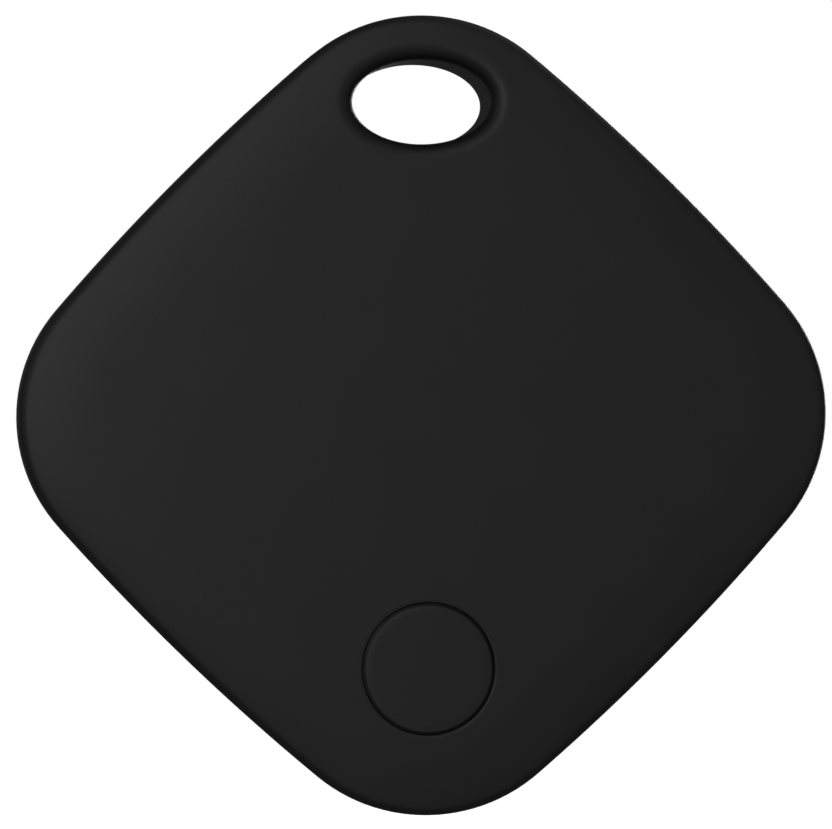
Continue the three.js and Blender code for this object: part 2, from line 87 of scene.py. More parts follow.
# %% [markdown]
# ## The camera
#
# A product shot of something this small is taken with a long lens from about a forearm away, which
# keeps the outline true. The camera stands five degrees to the left of the tag and almost level
# with its middle, so a sliver of the keyring hole's right wall shows. It is rolled by half a degree
# and aimed a fraction of a millimetre off the middle, because a tag that is propped up by hand
# never hangs quite straight. The focal length follows from how much should be seen: sensor width
# times distance over the width seen.

# %% Camera
CAMERA_AWAY = 320 * MM
CAMERA_TURN = math.radians(-5)
CAMERA_RISE = math.radians(0.5)
CAMERA_ROLL = math.radians(-0.55)
SEEN_WIDTH = 45.51 * MM
AIM_LEFT = 0.224 * MM
AIM_UP = 0.04 * MM

camera_data = bpy.data.cameras.new("camera")
camera_data.sensor_width = 36
camera_data.lens = camera_data.sensor_width * CAMERA_AWAY / SEEN_WIDTH
camera_data.clip_start = 0.01
camera = bpy.data.objects.new("camera", camera_data)
bpy.context.scene.collection.objects.link(camera)
middle = Vector((0, 0, CENTRE_Z * MM))
back = Vector((
    math.sin(CAMERA_TURN) * math.cos(CAMERA_RISE),
    -math.cos(CAMERA_TURN) * math.cos(CAMERA_RISE),
    math.sin(CAMERA_RISE),
))
right = Vector((math.cos(CAMERA_TURN), math.sin(CAMERA_TURN), 0))
camera.location = middle + back * CAMERA_AWAY - right * AIM_LEFT + Vector((0, 0, AIM_UP))
facing = back.to_track_quat("Z", "Y") @ Quaternion((0, 0, 1), CAMERA_ROLL)
camera.rotation_euler = facing.to_euler()
bpy.context.scene.camera = camera
print(f"lens {camera_data.lens:.0f} mm")

# %% [markdown]
# ## Adding nodes
#
# In Blender both light and materials are graphs of nodes. Building a graph takes the same three
# steps again and again, so one small function does them: it adds a node, fills its sockets and
# links it to the nodes before it.


# %% One function that adds a node
def put(tree, kind, inputs=None, **settings):
    """Adds a node. A value goes into its socket, and another node's output is linked to it."""
    node = tree.nodes.new(kind)
    for name, value in settings.items():
        setattr(node, name, value)
    for name, value in (inputs or {}).items():
        socket = node.inputs[name]
        if isinstance(value, bpy.types.NodeSocket):
            tree.links.new(value, socket)
        else:
            socket.default_value = value
    return node


# %% [markdown]
# ## Room and backdrop
#
# The backdrop is plain white and only the camera sees it. The room itself is dim, because a bright
# room would draw a pale line round every rounded edge, and on black plastic those edges read dark.

# %% Room and backdrop
scene = bpy.context.scene
scene.view_settings.view_transform = "Standard"
scene.view_settings.look = "None"

ROOM_LIGHT = 0.08
WHITE = (1, 1, 1, 1)
world = bpy.data.worlds.new("studio")
scene.world = world
world.use_nodes = True
sky = world.node_tree
sky.nodes.clear()
rays = put(sky, "ShaderNodeLightPath")
dim_room = put(sky, "ShaderNodeBackground", {"Color": WHITE, "Strength": ROOM_LIGHT})
backdrop = put(sky, "ShaderNodeBackground", {"Color": WHITE, "Strength": 1.0})
pick = put(sky, "ShaderNodeMixShader", {"Fac": rays.outputs["Is Camera Ray"]})
sky.links.new(dim_room.outputs["Background"], pick.inputs[1])
sky.links.new(backdrop.outputs["Background"], pick.inputs[2])
put(sky, "ShaderNodeOutputWorld", {"Surface": pick.outputs["Shader"]})
print("room light:", ROOM_LIGHT)

# %% [markdown]
# ## Floor
#
# The floor is a wide white sheet six centimetres below the tag. It glows, so it is as white as the
# backdrop, and it is left out of reflections, so the underside of the tag stays dark.

# %% Floor
FLOOR_BELOW = 60 * MM
FLOOR_REACH = 2.4
floor_z = shell_low.z * MM - FLOOR_BELOW
corners = [(-1, -1), (1, -1), (1, 1), (-1, 1)]
floor_data = bpy.data.meshes.new("floor")
floor_data.from_pydata(
    [(x * FLOOR_REACH, y * FLOOR_REACH, floor_z) for x, y in corners], [], [(0, 1, 2, 3)]
)
floor = bpy.data.objects.new("floor", floor_data)
scene.collection.objects.link(floor)
floor_paint = bpy.data.materials.new("floor_paint")
floor_paint.use_nodes = True
floor_shader = floor_paint.node_tree.nodes["Principled BSDF"]
floor_shader.inputs["Base Color"].default_value = (0.9, 0.9, 0.9, 1)
floor_shader.inputs["Roughness"].default_value = 0.9
floor_shader.inputs["Emission Color"].default_value = WHITE
floor_shader.inputs["Emission Strength"].default_value = 0.95
floor_data.materials.append(floor_paint)
floor.visible_glossy = False
floor.visible_diffuse = False
print(f"floor {FLOOR_BELOW / MM:.0f} mm below the tag")

# %% [markdown]
# ## Soft boxes
#
# Matt black plastic shows almost nothing but the shape of the light. The main soft box stands in
# front and to the left, so the face fades from left to right. Weaker boxes above, below and on the
# right hold the fade even, and two more reach the rounded edges: a faint one beside the tag on the
# left and one overhead. The box behind the tag is strong but sees only the back cover, so nothing
# of it spills round to the front.


# %% Lights
def soft_box(name, place, size, watts):
    """A square area light that faces the middle of the tag. place is in metres from that middle."""
    data = bpy.data.lights.new(name, "AREA")
    data.shape = "SQUARE"
    data.size = size
    data.energy = watts
    lamp = bpy.data.objects.new(name, data)
    scene.collection.objects.link(lamp)
    lamp.location = middle + Vector(place)
    lamp.rotation_euler = Vector(place).to_track_quat("Z", "Y").to_euler()


soft_box("front_left_box", (-0.20, -0.50, 0.08), 0.30, 0.51)
soft_box("side_box", (-0.25, -0.08, 0.08), 0.15, 0.02)
soft_box("top_box", (0.0, -0.40, 0.40), 0.30, 0.18)
soft_box("front_right_box", (0.35, -0.45, 0.0), 0.40, 0.13)
soft_box("low_box", (0.0, -0.45, -0.35), 0.30, 0.08)
soft_box("overhead_box", (0.30, 0.10, 0.45), 0.30, 0.15)
soft_box("back_box", (0.35, 0.65, 0.05), 0.40, 4.0)

# %% [markdown]
# ## Colour
#
# Paint and plastic colours are written as they look on a screen, in sRGB hex. Blender's shaders
# count light, so one function turns hex into linear values.


# %% Colour and material helpers
def linear(hex_colour):
    """An sRGB hex colour as linear red, green, blue and alpha."""
    parts = [int(hex_colour[i : i + 2], 16) / 255 for i in (1, 3, 5)]
    return tuple(p / 12.92 if p <= 0.04045 else ((p + 0.055) / 1.055) ** 2.4 for p in parts) + (1,)


def material(name, colour, roughness, metallic=0.0, ior=1.5):
    """A new material with its shader's plain values set, and its node tree and shader."""
    made = bpy.data.materials.new(name)
    made.use_nodes = True
    shader = made.node_tree.nodes["Principled BSDF"]
    shader.inputs["Base Color"].default_value = linear(colour)
    shader.inputs["Roughness"].default_value = roughness
    shader.inputs["Metallic"].default_value = metallic
    if not metallic:
        shader.inputs["IOR"].default_value = ior
    return made, made.node_tree, shader


def per_mm(size):
    """A texture's scale for a pattern whose repeat is `size` millimetres."""
    return 1 / (size * MM)


def mottle(tree, shader, one, other, size, place):
    """Two close colours drift into each other in patches about `size` millimetres across."""
    noise = put(tree, "ShaderNodeTexNoise", {"Vector": place, "Scale": per_mm(size), "Detail": 3.0})
    ramp = put(tree, "ShaderNodeValToRGB", {"Fac": noise.outputs["Fac"]})
    ramp.color_ramp.elements[0].position = 0.35
    ramp.color_ramp.elements[0].color = linear(one)
    ramp.color_ramp.elements[1].position = 0.65
    ramp.color_ramp.elements[1].color = linear(other)
    tree.links.new(ramp.outputs["Color"], shader.inputs["Base Color"])


def grain(tree, shader, size, height, place, strength=1.0):
    """Fine bumps about `size` millimetres apart and `height` millimetres high."""
    noise = put(tree, "ShaderNodeTexNoise", {"Vector": place, "Scale": per_mm(size), "Detail": 2.0})
    bump = put(
        tree,
        "ShaderNodeBump",
        {"Height": noise.outputs["Fac"], "Distance": height * MM, "Strength": strength},
    )
    tree.links.new(bump.outputs["Normal"], shader.inputs["Normal"])
    return noise


def here(tree):
    """Texture coordinates in metres, fixed to the piece."""
    return put(tree, "ShaderNodeTexCoord").outputs["Object"]


# %% [markdown]
# ## The case plastic
#
# The case is black ABS moulded in a spark-eroded steel tool. The eroded steel leaves a skin of tiny
# pits about a tenth of a millimetre apart, which spreads every reflection wide and makes the
# black look charcoal. A dark base colour, a middling roughness and a very fine bump give that.


# %% Case plastic
def spark_eroded_abs():
    # Wide soft highlights over a charcoal that is never quite even.
    made, tree, shader = material("spark_eroded_abs", "#1b1b1b", 0.5, ior=1.53)
    place = here(tree)
    mottle(tree, shader, "#1a1a1a", "#1d1d1d", 4.0, place)
    grain(tree, shader, 0.14, 0.006, place)
    return made


CASE_ABS = spark_eroded_abs()
print("made", CASE_ABS.name)

# %% [markdown]
# ## The case outline
#
# The outline is a square standing on one corner. Its corners are large arcs and its sides are not
# straight: each is a very flat arc, which makes the tag feel soft in the hand. The side arc is
# found so that it runs on from the corner arcs with no kink. Every rim, wall and seal of the case
# is this same outline drawn a little further in.

# %% Outline maths
SIDE_REACH = 18.61 * REACH / 22
CORNER_R = 9.25 * REACH / 22
CORNER_AT = REACH - CORNER_R
BOW_R = (
    math.sqrt(2) * CORNER_AT * SIDE_REACH - CORNER_AT**2 - SIDE_REACH**2 + CORNER_R**2
) / (math.sqrt(2) * CORNER_AT - 2 * SIDE_REACH + 2 * CORNER_R)
BOW_AT = (SIDE_REACH - BOW_R) / math.sqrt(2)
MEET = math.atan2(-BOW_AT, CORNER_AT - BOW_AT)


def spun(v, a):
    """The 2-D vector turned by the angle a."""
    return Vector((v.x * math.cos(a) - v.y * math.sin(a), v.x * math.sin(a) + v.y * math.cos(a)))


def outline_points(corner_steps=26, side_steps=26):
    """Points round the outline, each with its outward direction, before the squash in height."""
    made = []
    for turn in range(4):
        a = turn * math.pi / 2
        arcs = (
            (CORNER_AT, 0.0, CORNER_R, -MEET, MEET, corner_steps),
            (BOW_AT, BOW_AT, BOW_R, MEET, math.pi / 2 - MEET, side_steps),
        )
        for cx, cz, r, start, end, steps in arcs:
            for i in range(steps):
                t = start + (end - start) * i / steps
                out = Vector((math.cos(t), math.sin(t)))
                at = Vector((cx, cz)) + out * r
                made.append((spun(at, a), spun(out, a)))
    return made


OUTLINE = outline_points()


def ring_at(inset):
    """The outline drawn `inset` mm further in, as (x, z) spots."""
    return [(p.x - n.x * inset, (p.y - n.y * inset) * SQUASH + CENTRE_Z) for p, n in OUTLINE]


def depth_inside(x, z):
    """How far a point is inside the outline."""
    px = abs(x)
    pz = abs((z - CENTRE_Z) / SQUASH)
    angle = math.atan2(pz - BOW_AT, px - BOW_AT)
    if angle < MEET:
        return CORNER_R - math.hypot(px - CORNER_AT, pz)
    if angle > math.pi / 2 - MEET:
        return CORNER_R - math.hypot(px, pz - CORNER_AT)
    return BOW_R - math.hypot(px - BOW_AT, pz - BOW_AT)


print(f"{len(OUTLINE)} outline points, side bow radius {BOW_R:.0f} mm")

# %% [markdown]
# ## From points to pieces
#
# A piece is made as a list of points and faces in millimetres. A Shape collects them: `ring` adds
# a closed loop of points, `skin` joins two loops with quads, `tube` does both for a row of loops,
# and `fill` closes the flat or gently curved area between loops with many small triangles. Small
# even triangles matter on a smooth black face, because long thin ones show as streaks in the
# highlight.


# %% Mesh helpers
class Shape:
    """Points and faces of one piece."""

    def __init__(self):
        self.points = []
        self.faces = []

    def ring(self, points):
        """Adds points and returns their numbers."""
        start = len(self.points)
        self.points.extend(points)
        return list(range(start, start + len(points)))

    def skin(self, one, other):
        """Joins two rings of the same length with quads."""
        for i in range(len(one)):
            j = (i + 1) % len(one)
            self.faces.append((one[i], one[j], other[j], other[i]))

    def tube(self, rings, last=None):
        """Joins rings of points one after the other. Returns the first and the last ring."""
        first = last
        for points in rings:
            ring = self.ring(points)
            if last is not None:
                self.skin(last, ring)
            first = first or ring
            last = ring
        return first, last

    def cap(self, ring):
        """Closes a ring with one flat face."""
        self.faces.append(tuple(ring))

    def fill(self, outer, holes, spots, height):
        """Triangles between the outer ring and the holes, through the (x, z) spots inside."""
        loops = [outer, *holes]
        used = [i for loop in loops for i in loop]
        flat = [Vector((self.points[i][0], self.points[i][2])) for i in used]
        edges = []
        start = 0
        for loop in loops:
            count = len(loop)
            edges += [(start + i, start + (i + 1) % count) for i in range(count)]
            start += count
        first_spot = len(used)
        flat += [Vector(s) for s in spots]
        verts, _, faces, origin, _, _ = delaunay_2d_cdt(flat, edges, [], 1, 1e-6)
        own = []
        for spot, came_from in zip(verts, origin):
            known = [i for i in came_from if i < first_spot]
            if known:
                own.append(used[known[0]])
            else:
                own.append(len(self.points))
                self.points.append((spot.x, height(spot.x, spot.y), spot.y))
        hole_sets = [set(h) for h in holes]
        for face in faces:
            face = tuple(own[i] for i in face)
            if not any(set(face) <= h for h in hole_sets):
                self.faces.append(face)

# %% [markdown]
# ## Finishing a piece
#
# Holes and joins are made with exact booleans, which stand up to faces that touch. The last step is
# the same for every piece: it is brought to metres, shaded smooth but for its sharp edges, given
# its material and hung on the body it moves with.


# %% Mesh objects, booleans and finishing
def mesh_object(name, shape):
    """Turns a Shape into an object, still in millimetres."""
    mesh = bpy.data.meshes.new(name)
    mesh.from_pydata(shape.points, [], shape.faces)
    work = bmesh.new()
    work.from_mesh(mesh)
    bmesh.ops.recalc_face_normals(work, faces=work.faces)
    work.to_mesh(mesh)
    work.free()
    made = bpy.data.objects.new(name, mesh)
    scene.collection.objects.link(made)
    return made


def settle(piece):
    """Bakes a piece's modifiers into its mesh."""
    graph = bpy.context.evaluated_depsgraph_get()
    graph.update()
    fresh = bpy.data.meshes.new_from_object(piece.evaluated_get(graph))
    piece.modifiers.clear()
    piece.data = fresh
    return piece


def combine(piece, others, how):
    """Cuts the others out of the piece, or joins them to it."""
    for other in others:
        step = piece.modifiers.new(how, "BOOLEAN")
        step.operation = how
        step.solver = "EXACT"
        step.object = other
    settle(piece)
    for other in others:
        bpy.data.objects.remove(other)
    return piece


def finish_piece(piece, body, paint, replaces=(), sharp=30):
    """Turns millimetres to metres, smooths the shading and hangs the piece on its body."""
    mesh = piece.data
    for v in mesh.vertices:
        v.co *= MM
    mesh.shade_smooth()
    mesh.set_sharp_from_angle(angle=math.radians(sharp))
    mesh.materials.clear()
    mesh.materials.append(paint)
    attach(piece, body)
    if replaces:
        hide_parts(*replaces)

# %% [markdown]
# ## The front face
#
# The front is slightly domed and falls away faster over the last few millimetres, then turns into
# the side wall through a tight round. A boolean cut would leave streaks on such a face, so the
# keyring hole, its soft lip and the button's opening are part of the mesh from the start: one
# height function says how far the face has fallen at any spot, and every ring is set down on it.

# %% Face heights
FACE_WALL = 1.0
DOME_SAG = 0.45  # fall of the face from the middle to the corner tips
CROWN_REACH, CROWN_DROP, CROWN_SPARE = 5.5, 0.9, 1.0


def front_fall(x, z):
    """How far the front face has fallen at a spot, in mm."""
    dome = DOME_SAG * (x * x + (z - CENTRE_Z) ** 2) / REACH**2
    u = min(1.0, (depth_inside(x, z) + CROWN_SPARE) / CROWN_REACH)
    return dome + CROWN_DROP * (1 - math.sqrt(1 - (1 - u) ** 2))


def rear_fall(x, z):
    """The back is flat."""
    return 0.0


print(f"front face falls {front_fall(0, shell_low.z + 1):.2f} mm near its lowest corner")

# %% [markdown]
# ## Keyring hole and button opening
#
# The hole is an oval with a broad soft lip, so a ring or cord never meets a sharp edge. The
# button's opening has only a tiny round, because the cap inside it should look flush.

# %% Keyring hole and button opening
EYE_HALF_X, EYE_HALF_Z, EYE_LIP, EYE_FALL = 3.76, 2.3, 0.87, 0.35
BUTTON_LOW, BUTTON_HIGH = box_mm("button_cap")
BUTTON_Z = (BUTTON_LOW.z + BUTTON_HIGH.z) / 2
OPENING_R, OPENING_EDGE = 3.585, 0.1
OPENING_DEEP = FACE_WALL + 0.1
ROUND_STEPS = 10


def oval(extra, steps=96):
    """The keyring hole's outline, `extra` mm wider all round."""
    turn = 2 * math.pi / steps
    return [
        ((EYE_HALF_X + extra) * math.cos(i * turn), (EYE_HALF_Z + extra) * math.sin(i * turn))
        for i in range(steps)
    ]


def circle(r, steps=96, x=0.0, z=0.0):
    """Spots on a circle of radius r about (x, z)."""
    turn = 2 * math.pi / steps
    return [(x + r * math.cos(i * turn), z + r * math.sin(i * turn)) for i in range(steps)]


def eye_rings(fall, stop):
    """The keyring hole from its mouth to the part line, as rings of (x, z, depth)."""
    rings = []
    for i in range(ROUND_STEPS + 1):
        turn = math.pi / 2 * i / ROUND_STEPS
        drop = EYE_LIP * (1 - math.cos(turn))
        spots = zip(oval(EYE_LIP * (1 - math.sin(turn))), oval(EYE_LIP))
        rings.append([(x, z, fall(mx, mz) + drop) for (x, z), (mx, mz) in spots])
    throat = EYE_LIP + EYE_FALL
    for share in (0.33, 0.66, 1.0):
        depth = throat + (stop - throat) * share
        rings.append([(x, z, depth) for x, z in oval(0)])
    return rings


def opening_rings(fall, steps=3):
    """The button's opening, as a blind hole that the hollow inside will open."""
    rings = []
    for i in range(steps + 1):
        turn = math.pi / 2 * i / steps
        r = OPENING_R + OPENING_EDGE * (1 - math.sin(turn))
        drop = OPENING_EDGE * (1 - math.cos(turn))
        rings.append([(x, z, fall(x, z) + drop) for x, z in circle(r, z=BUTTON_Z)])
    rings.append([(x, z, OPENING_DEEP) for x, z in circle(OPENING_R, z=BUTTON_Z)])
    return rings


print(f"keyring hole {2 * EYE_HALF_X:.1f} by {2 * EYE_HALF_Z:.1f} mm")

# %% [markdown]
# ## The edge of the case
#
# The edge is a quarter round that starts where the sloping face meets it, so it turns through less
# than a right angle on the front. Then comes the side wall, and a very small round where the two
# halves meet: two sharp rims would never line up, and the little groove hides that.

# %% Edge of the case
FRONT_EDGE_R, REAR_EDGE_R = 0.65, 1.3
PART_LINE_ROUND, PART_LINE_STEPS = 0.12, 3


def edge_lean(fall, edge_r, step=0.1):
    """The angle that the face has where it meets the round edge."""
    x, z = ring_at(edge_r)[0]
    further_x, further_z = ring_at(edge_r - step)[0]
    return math.atan((fall(further_x, further_z) - fall(x, z)) / step)


def edge_rings(fall, edge_r, strips, stop):
    """The face's outer strips, the round edge and the side wall, as rings of (x, z, depth)."""
    rings = [[(x, z, fall(x, z)) for x, z in ring_at(inset)] for inset in strips]
    lean = edge_lean(fall, edge_r)
    heights = [fall(x, z) for x, z in ring_at(edge_r * (1 - math.sin(lean)))]
    for i in range(ROUND_STEPS + 1):
        turn = lean + (math.pi / 2 - lean) * i / ROUND_STEPS
        drop = edge_r * (math.cos(lean) - math.cos(turn))
        spots = ring_at(edge_r * (1 - math.sin(turn)))
        rings.append([(x, z, height + drop) for (x, z), height in zip(spots, heights)])
    deepest = max(heights) + edge_r
    for share in (0.25, 0.5, 0.75):
        depth = deepest + (stop - PART_LINE_ROUND - deepest) * share
        rings.append([(x, z, depth) for x, z in ring_at(0)])
    for i in range(PART_LINE_STEPS + 1):
        turn = i / PART_LINE_STEPS * math.pi / 2
        inset = PART_LINE_ROUND * (1 - math.cos(turn))
        depth = stop - PART_LINE_ROUND * (1 - math.sin(turn))
        rings.append([(x, z, depth) for x, z in ring_at(inset)])
    return rings


print(f"front edge starts at {math.degrees(edge_lean(front_fall, FRONT_EDGE_R)):.1f} degrees")

# %% [markdown]
# ## Spots that fill a face
#
# A moulded face is smooth, so its triangles must be small and even. The spots follow the edge and
# the holes closely, lie on a plain triangular grid in the middle, and none may crowd another.

# %% Spots that fill a face
BORDER_INSETS = (0.45, 0.95, 1.5, 2.1, 2.8, 3.6, 4.5)
GRID_INSET, GRID_PITCH, GRID_ROW = 5.1, 0.9, 0.87
SPOT_GAP = 0.17


def thin_out(spots, gap):
    """Drops spots that are closer together than the gap."""
    kept = {}
    for x, z in spots:
        cell = (int(x // gap), int(z // gap))
        crowd = [kept.get((cell[0] + i, cell[1] + j)) for i in (-1, 0, 1) for j in (-1, 0, 1)]
        if all(p is None or math.hypot(p[0] - x, p[1] - z) >= gap for p in crowd):
            kept[cell] = (x, z)
    return list(kept.values())


def face_spots(inset, opening):
    """Spots that spread small even triangles over the face: denser at the edge and the holes."""
    spots = []
    for step in BORDER_INSETS:
        spots += ring_at(inset + step)[:: 1 if step < 2.5 else 2]
    rows = int(2 * REACH / GRID_PITCH)
    for i in range(-rows, rows + 1):
        for j in range(-rows, rows + 1):
            x = (i + 0.5 * (j % 2)) * GRID_PITCH
            z = CENTRE_Z + j * GRID_PITCH * GRID_ROW
            if depth_inside(x, z) > inset + GRID_INSET:
                spots.append((x, z))
    for extra in (0.25, 0.55):
        spots += oval(EYE_LIP + extra)
    if opening:
        for extra in (0.15, 0.4, 0.8):
            spots += circle(OPENING_R + OPENING_EDGE + extra, z=BUTTON_Z)
    clear = []
    for x, z in spots:
        lip = EYE_LIP + 0.2
        near_eye = (x / (EYE_HALF_X + lip)) ** 2 + (z / (EYE_HALF_Z + lip)) ** 2 < 1
        near_button = opening and math.hypot(x, z - BUTTON_Z) < OPENING_R + OPENING_EDGE + 0.1
        if not near_eye and not near_button and depth_inside(x, z) > inset + 0.2:
            clear.append((x, z))
    return thin_out(clear, SPOT_GAP)


print(f"{len(face_spots(0, True))} spots on a full face")

# %% [markdown]
# ## Two solid halves
#
# Both halves start as solid lumps: rings for the edge, the hole and the opening, and small
# triangles between them. The hollow inside is cut out later, where streaks would not show. The
# front edge is tight and the back edge is rounder, because the back is the side that a thumb rubs.


# %% Front and back lumps
def case_half(name, face_y, inward, fall, edge_r, strips, stop_y, opening):
    """Half of the case as a closed lump. inward is +1 where the inside lies towards +Y."""
    shape = Shape()
    stop = abs(stop_y - face_y)

    def face_height(x, z):
        return face_y + inward * fall(x, z)

    def seam_height(x, z):
        return stop_y

    def lay(rings):
        placed = [[(x, face_y + inward * depth, z) for x, z, depth in ring] for ring in rings]
        return shape.tube(placed)

    inner, outer_end = lay(edge_rings(fall, edge_r, strips, stop))
    mouth, eye_end = lay(eye_rings(fall, stop))
    holes = [mouth]
    if opening:
        rim, blind_end = lay(opening_rings(fall))
        shape.cap(blind_end)
        holes.append(rim)
    shape.fill(inner, holes, face_spots(strips[0], opening), face_height)
    shape.fill(outer_end, [eye_end], [], seam_height)
    print(f"{name}: {len(shape.faces)} faces")
    return mesh_object(name, shape)


FRONT_STRIPS, REAR_STRIPS = (1.15, 0.95, 0.8), (1.42, 1.36)
PART_FRONT_Y, PART_REAR_Y = 1.125, 1.275
front_edge = (front_fall, FRONT_EDGE_R, FRONT_STRIPS)
rear_edge = (rear_fall, REAR_EDGE_R, REAR_STRIPS)
front = case_half("front_shell_moulding", FRONT_Y, 1, *front_edge, PART_FRONT_Y, opening=True)
rear = case_half("rear_cover_moulding", REAR_Y, -1, *rear_edge, PART_REAR_Y, opening=False)

# %% [markdown]
# ## Simple solids
#
# Everything inside the case is a turned, sawn or pressed part, so three makers are enough:
# `turned` spins a profile as a lathe does, `slab` gives an outline a thickness, and `brick` is a
# block whose edges are rounded by a bevel modifier. `plug` is a plain drill for cutting holes. A
# real edge always has a small radius, and that radius is what catches the light and tells the eye
# how big a part is.


# %% Turned parts, slabs and blocks
def turned(name, profile, x=0.0, z=CENTRE_Z, sides=96):
    """Spins [radius, y] pairs about the thickness direction. Same first and last pair: a ring."""
    shape = Shape()
    closed = profile[0] == profile[-1]
    rings = []
    for r, y in profile[:-1] if closed else profile:
        if r < 1e-6:
            rings.append(shape.ring([(x, y, z)]))
        else:
            rings.append(shape.ring([(px, y, pz) for px, pz in circle(r, sides, x, z)]))
    pairs = list(zip(rings, rings[1:]))
    if closed:
        pairs.append((rings[-1], rings[0]))
    for one, other in pairs:
        if len(one) == 1:
            one, other = other, one
        if len(one) == 1:
            continue
        if len(other) == 1:
            tip = other[0]
            shape.faces += [(one[i], one[(i + 1) % sides], tip) for i in range(sides)]
        else:
            shape.skin(one, other)
    return mesh_object(name, shape)


def plug(r, y0, y1, x=0.0, z=CENTRE_Z, sides=48):
    """A round cutter of radius r from y0 to y1."""
    return turned("plug", [(0, y0), (r, y0), (r, y1), (0, y1)], x, z, sides)


def slab(name, outline, y0, y1):
    """An outline of (x, z) spots made solid from y0 to y1."""
    shape = Shape()
    near, far = shape.tube([[(x, y, z) for x, z in outline] for y in (y0, y1)])
    shape.cap(near)
    shape.cap(far[::-1])
    return mesh_object(name, shape)


def soften(piece, width, steps=3, angle=35):
    """Rounds every edge sharper than the angle by `width` mm."""
    edge = piece.modifiers.new("soft_edges", "BEVEL")
    edge.width = width
    edge.segments = steps
    edge.limit_method = "ANGLE"
    edge.angle_limit = math.radians(angle)
    return settle(piece)


def brick(name, low, high, edge=0.0):
    """A block between two corners, with its edges rounded by `edge` mm."""
    (x0, y0, z0), (x1, y1, z1) = low, high
    block = slab(name, [(x0, z0), (x1, z0), (x1, z1), (x0, z1)], y0, y1)
    return soften(block, edge) if edge else block


def turn_round(piece, degrees):
    """Swings a piece that was drawn with its middle at the case's centre, about that centre."""
    angle = math.radians(degrees)
    for v in piece.data.vertices:
        x, z = v.co.x, v.co.z - CENTRE_Z
        v.co.x = x * math.cos(angle) - z * math.sin(angle)
        v.co.z = x * math.sin(angle) + z * math.cos(angle) + CENTRE_Z
    return piece


def around(angle, reach):
    """The (x, z) spot at that angle and distance from the case's centre."""
    return (
        reach * math.cos(math.radians(angle)),
        CENTRE_Z + reach * math.sin(math.radians(angle)),
    )

# %% [markdown]
# ## Hollowing the case
#
# The mould's core leaves a room inside the walls. The keyring hole keeps a wall of its own right
# through the case, and above it the plastic is solid, which is what lets a tag hang from a ring for
# years. The room is the outline drawn inwards with that block taken away, so one function cuts the
# front, the back, the seal's groove and the board.

# %% Rooms
FAR = 30.0
THROUGH_Y, CORE_Y = (-9, 9), (-5, 9)
SIDE_WALL, EYE_WALL = 1.2, 1.1
SHELF_Z = -1.2
FRONT_INNER_Y = FRONT_Y + FACE_WALL
REAR_INNER_Y = REAR_Y - FACE_WALL


def eye_block(spare, y0, y1):
    """What the room leaves standing: the hole's wall and all the plastic above it."""
    sleeve = slab("sleeve", oval(EYE_WALL + spare), y0, y1)
    above = brick("above", (-FAR, y0, SHELF_Z - spare), (FAR, y1, FAR))
    return combine(sleeve, [above], "UNION")


def room(name, inset, y0, y1, spare=0.0):
    """The outline drawn in by `inset`, without the block round the keyring hole."""
    inside = slab(name, ring_at(inset), y0, y1)
    return combine(inside, [eye_block(spare, y0 - 1, y1 + 1)], "DIFFERENCE")


def band(name, outer, inner, y0, y1):
    """A wall that follows the outline between two insets."""
    wide = room(name, outer, y0, y1, outer - SIDE_WALL)
    core = room("core", inner, *CORE_Y, inner - SIDE_WALL)
    return combine(wide, [core], "DIFFERENCE")


print(f"room from y {FRONT_INNER_Y:.2f} to {REAR_INNER_Y:.2f} mm")

# %% [markdown]
# ## The front shell
#
# The front shell gets its hollow, three bosses for the tray's screws, four catches for the cover's
# fingers and a round pocket behind the button's opening.

# %% Front shell
SCREW_ANGLES, SIDE_ANGLES = (45, 135, 225), (45, 135, 225, 315)
EAR_REACH, EAR_R = 13.3, 1.8
BOARD_FRONT_Y, BOARD_REAR_Y = -1.8, -1.0
GLUE_LINE = 0.02
BOSS_TOP_Y = BOARD_FRONT_Y - GLUE_LINE
PILOT_R, PILOT_Y = 0.62, -3.2
POCKET_R, POCKET_Y = 4.5, -3.25
CATCH_LONG, CATCH_PROUD, CATCH_FRONT_Y, CATCH_REAR_Y = 6.0, 0.25, -0.1, 0.2
wall = SIDE_REACH - SIDE_WALL


def screw_holes(r, y0, y1, sides=48):
    """Round cutters where the three screws go."""
    return [plug(r, y0, y1, *around(angle, EAR_REACH), sides) for angle in SCREW_ANGLES]


combine(front, [room("core", SIDE_WALL, FRONT_INNER_Y, FAR)], "DIFFERENCE")
bosses = []
for angle in SCREW_ANGLES:
    x, z = around(angle, EAR_REACH)
    foot = FRONT_INNER_Y - 0.05
    profile = [(0, foot), (EAR_R + 0.3, foot), (EAR_R, foot + 0.4), (EAR_R, BOSS_TOP_Y)]
    bosses.append(turned("boss", [*profile, (0, BOSS_TOP_Y)], x, z, 48))
for angle in SIDE_ANGLES:
    half = CATCH_LONG / 2
    low = (wall - CATCH_PROUD, CATCH_FRONT_Y, CENTRE_Z - half)
    high = (wall + 0.2, CATCH_REAR_Y, CENTRE_Z + half)
    bosses.append(turn_round(brick("catch", low, high), angle))
combine(front, bosses, "UNION")
pocket = plug(POCKET_R, POCKET_Y, 0, z=BUTTON_Z, sides=96)
combine(front, [pocket, *screw_holes(PILOT_R, PILOT_Y, 0, 32)], "DIFFERENCE")
finish_piece(front, "case", CASE_ABS, ["front_shell"])
print("front shell:", len(front.data.polygons), "faces")

# %% [markdown]
# ## The back cover
#
# The back cover is a shallow tray with a lip that slides inside the front shell. Four short fingers
# on the lip click under catches in the side walls, and a coin-wide notch at the bottom lets a
# thumbnail or a coin lever it off when the cell is flat. A low ridge inside the seam almost touches
# the front shell, so no daylight shows through the seam from the side.

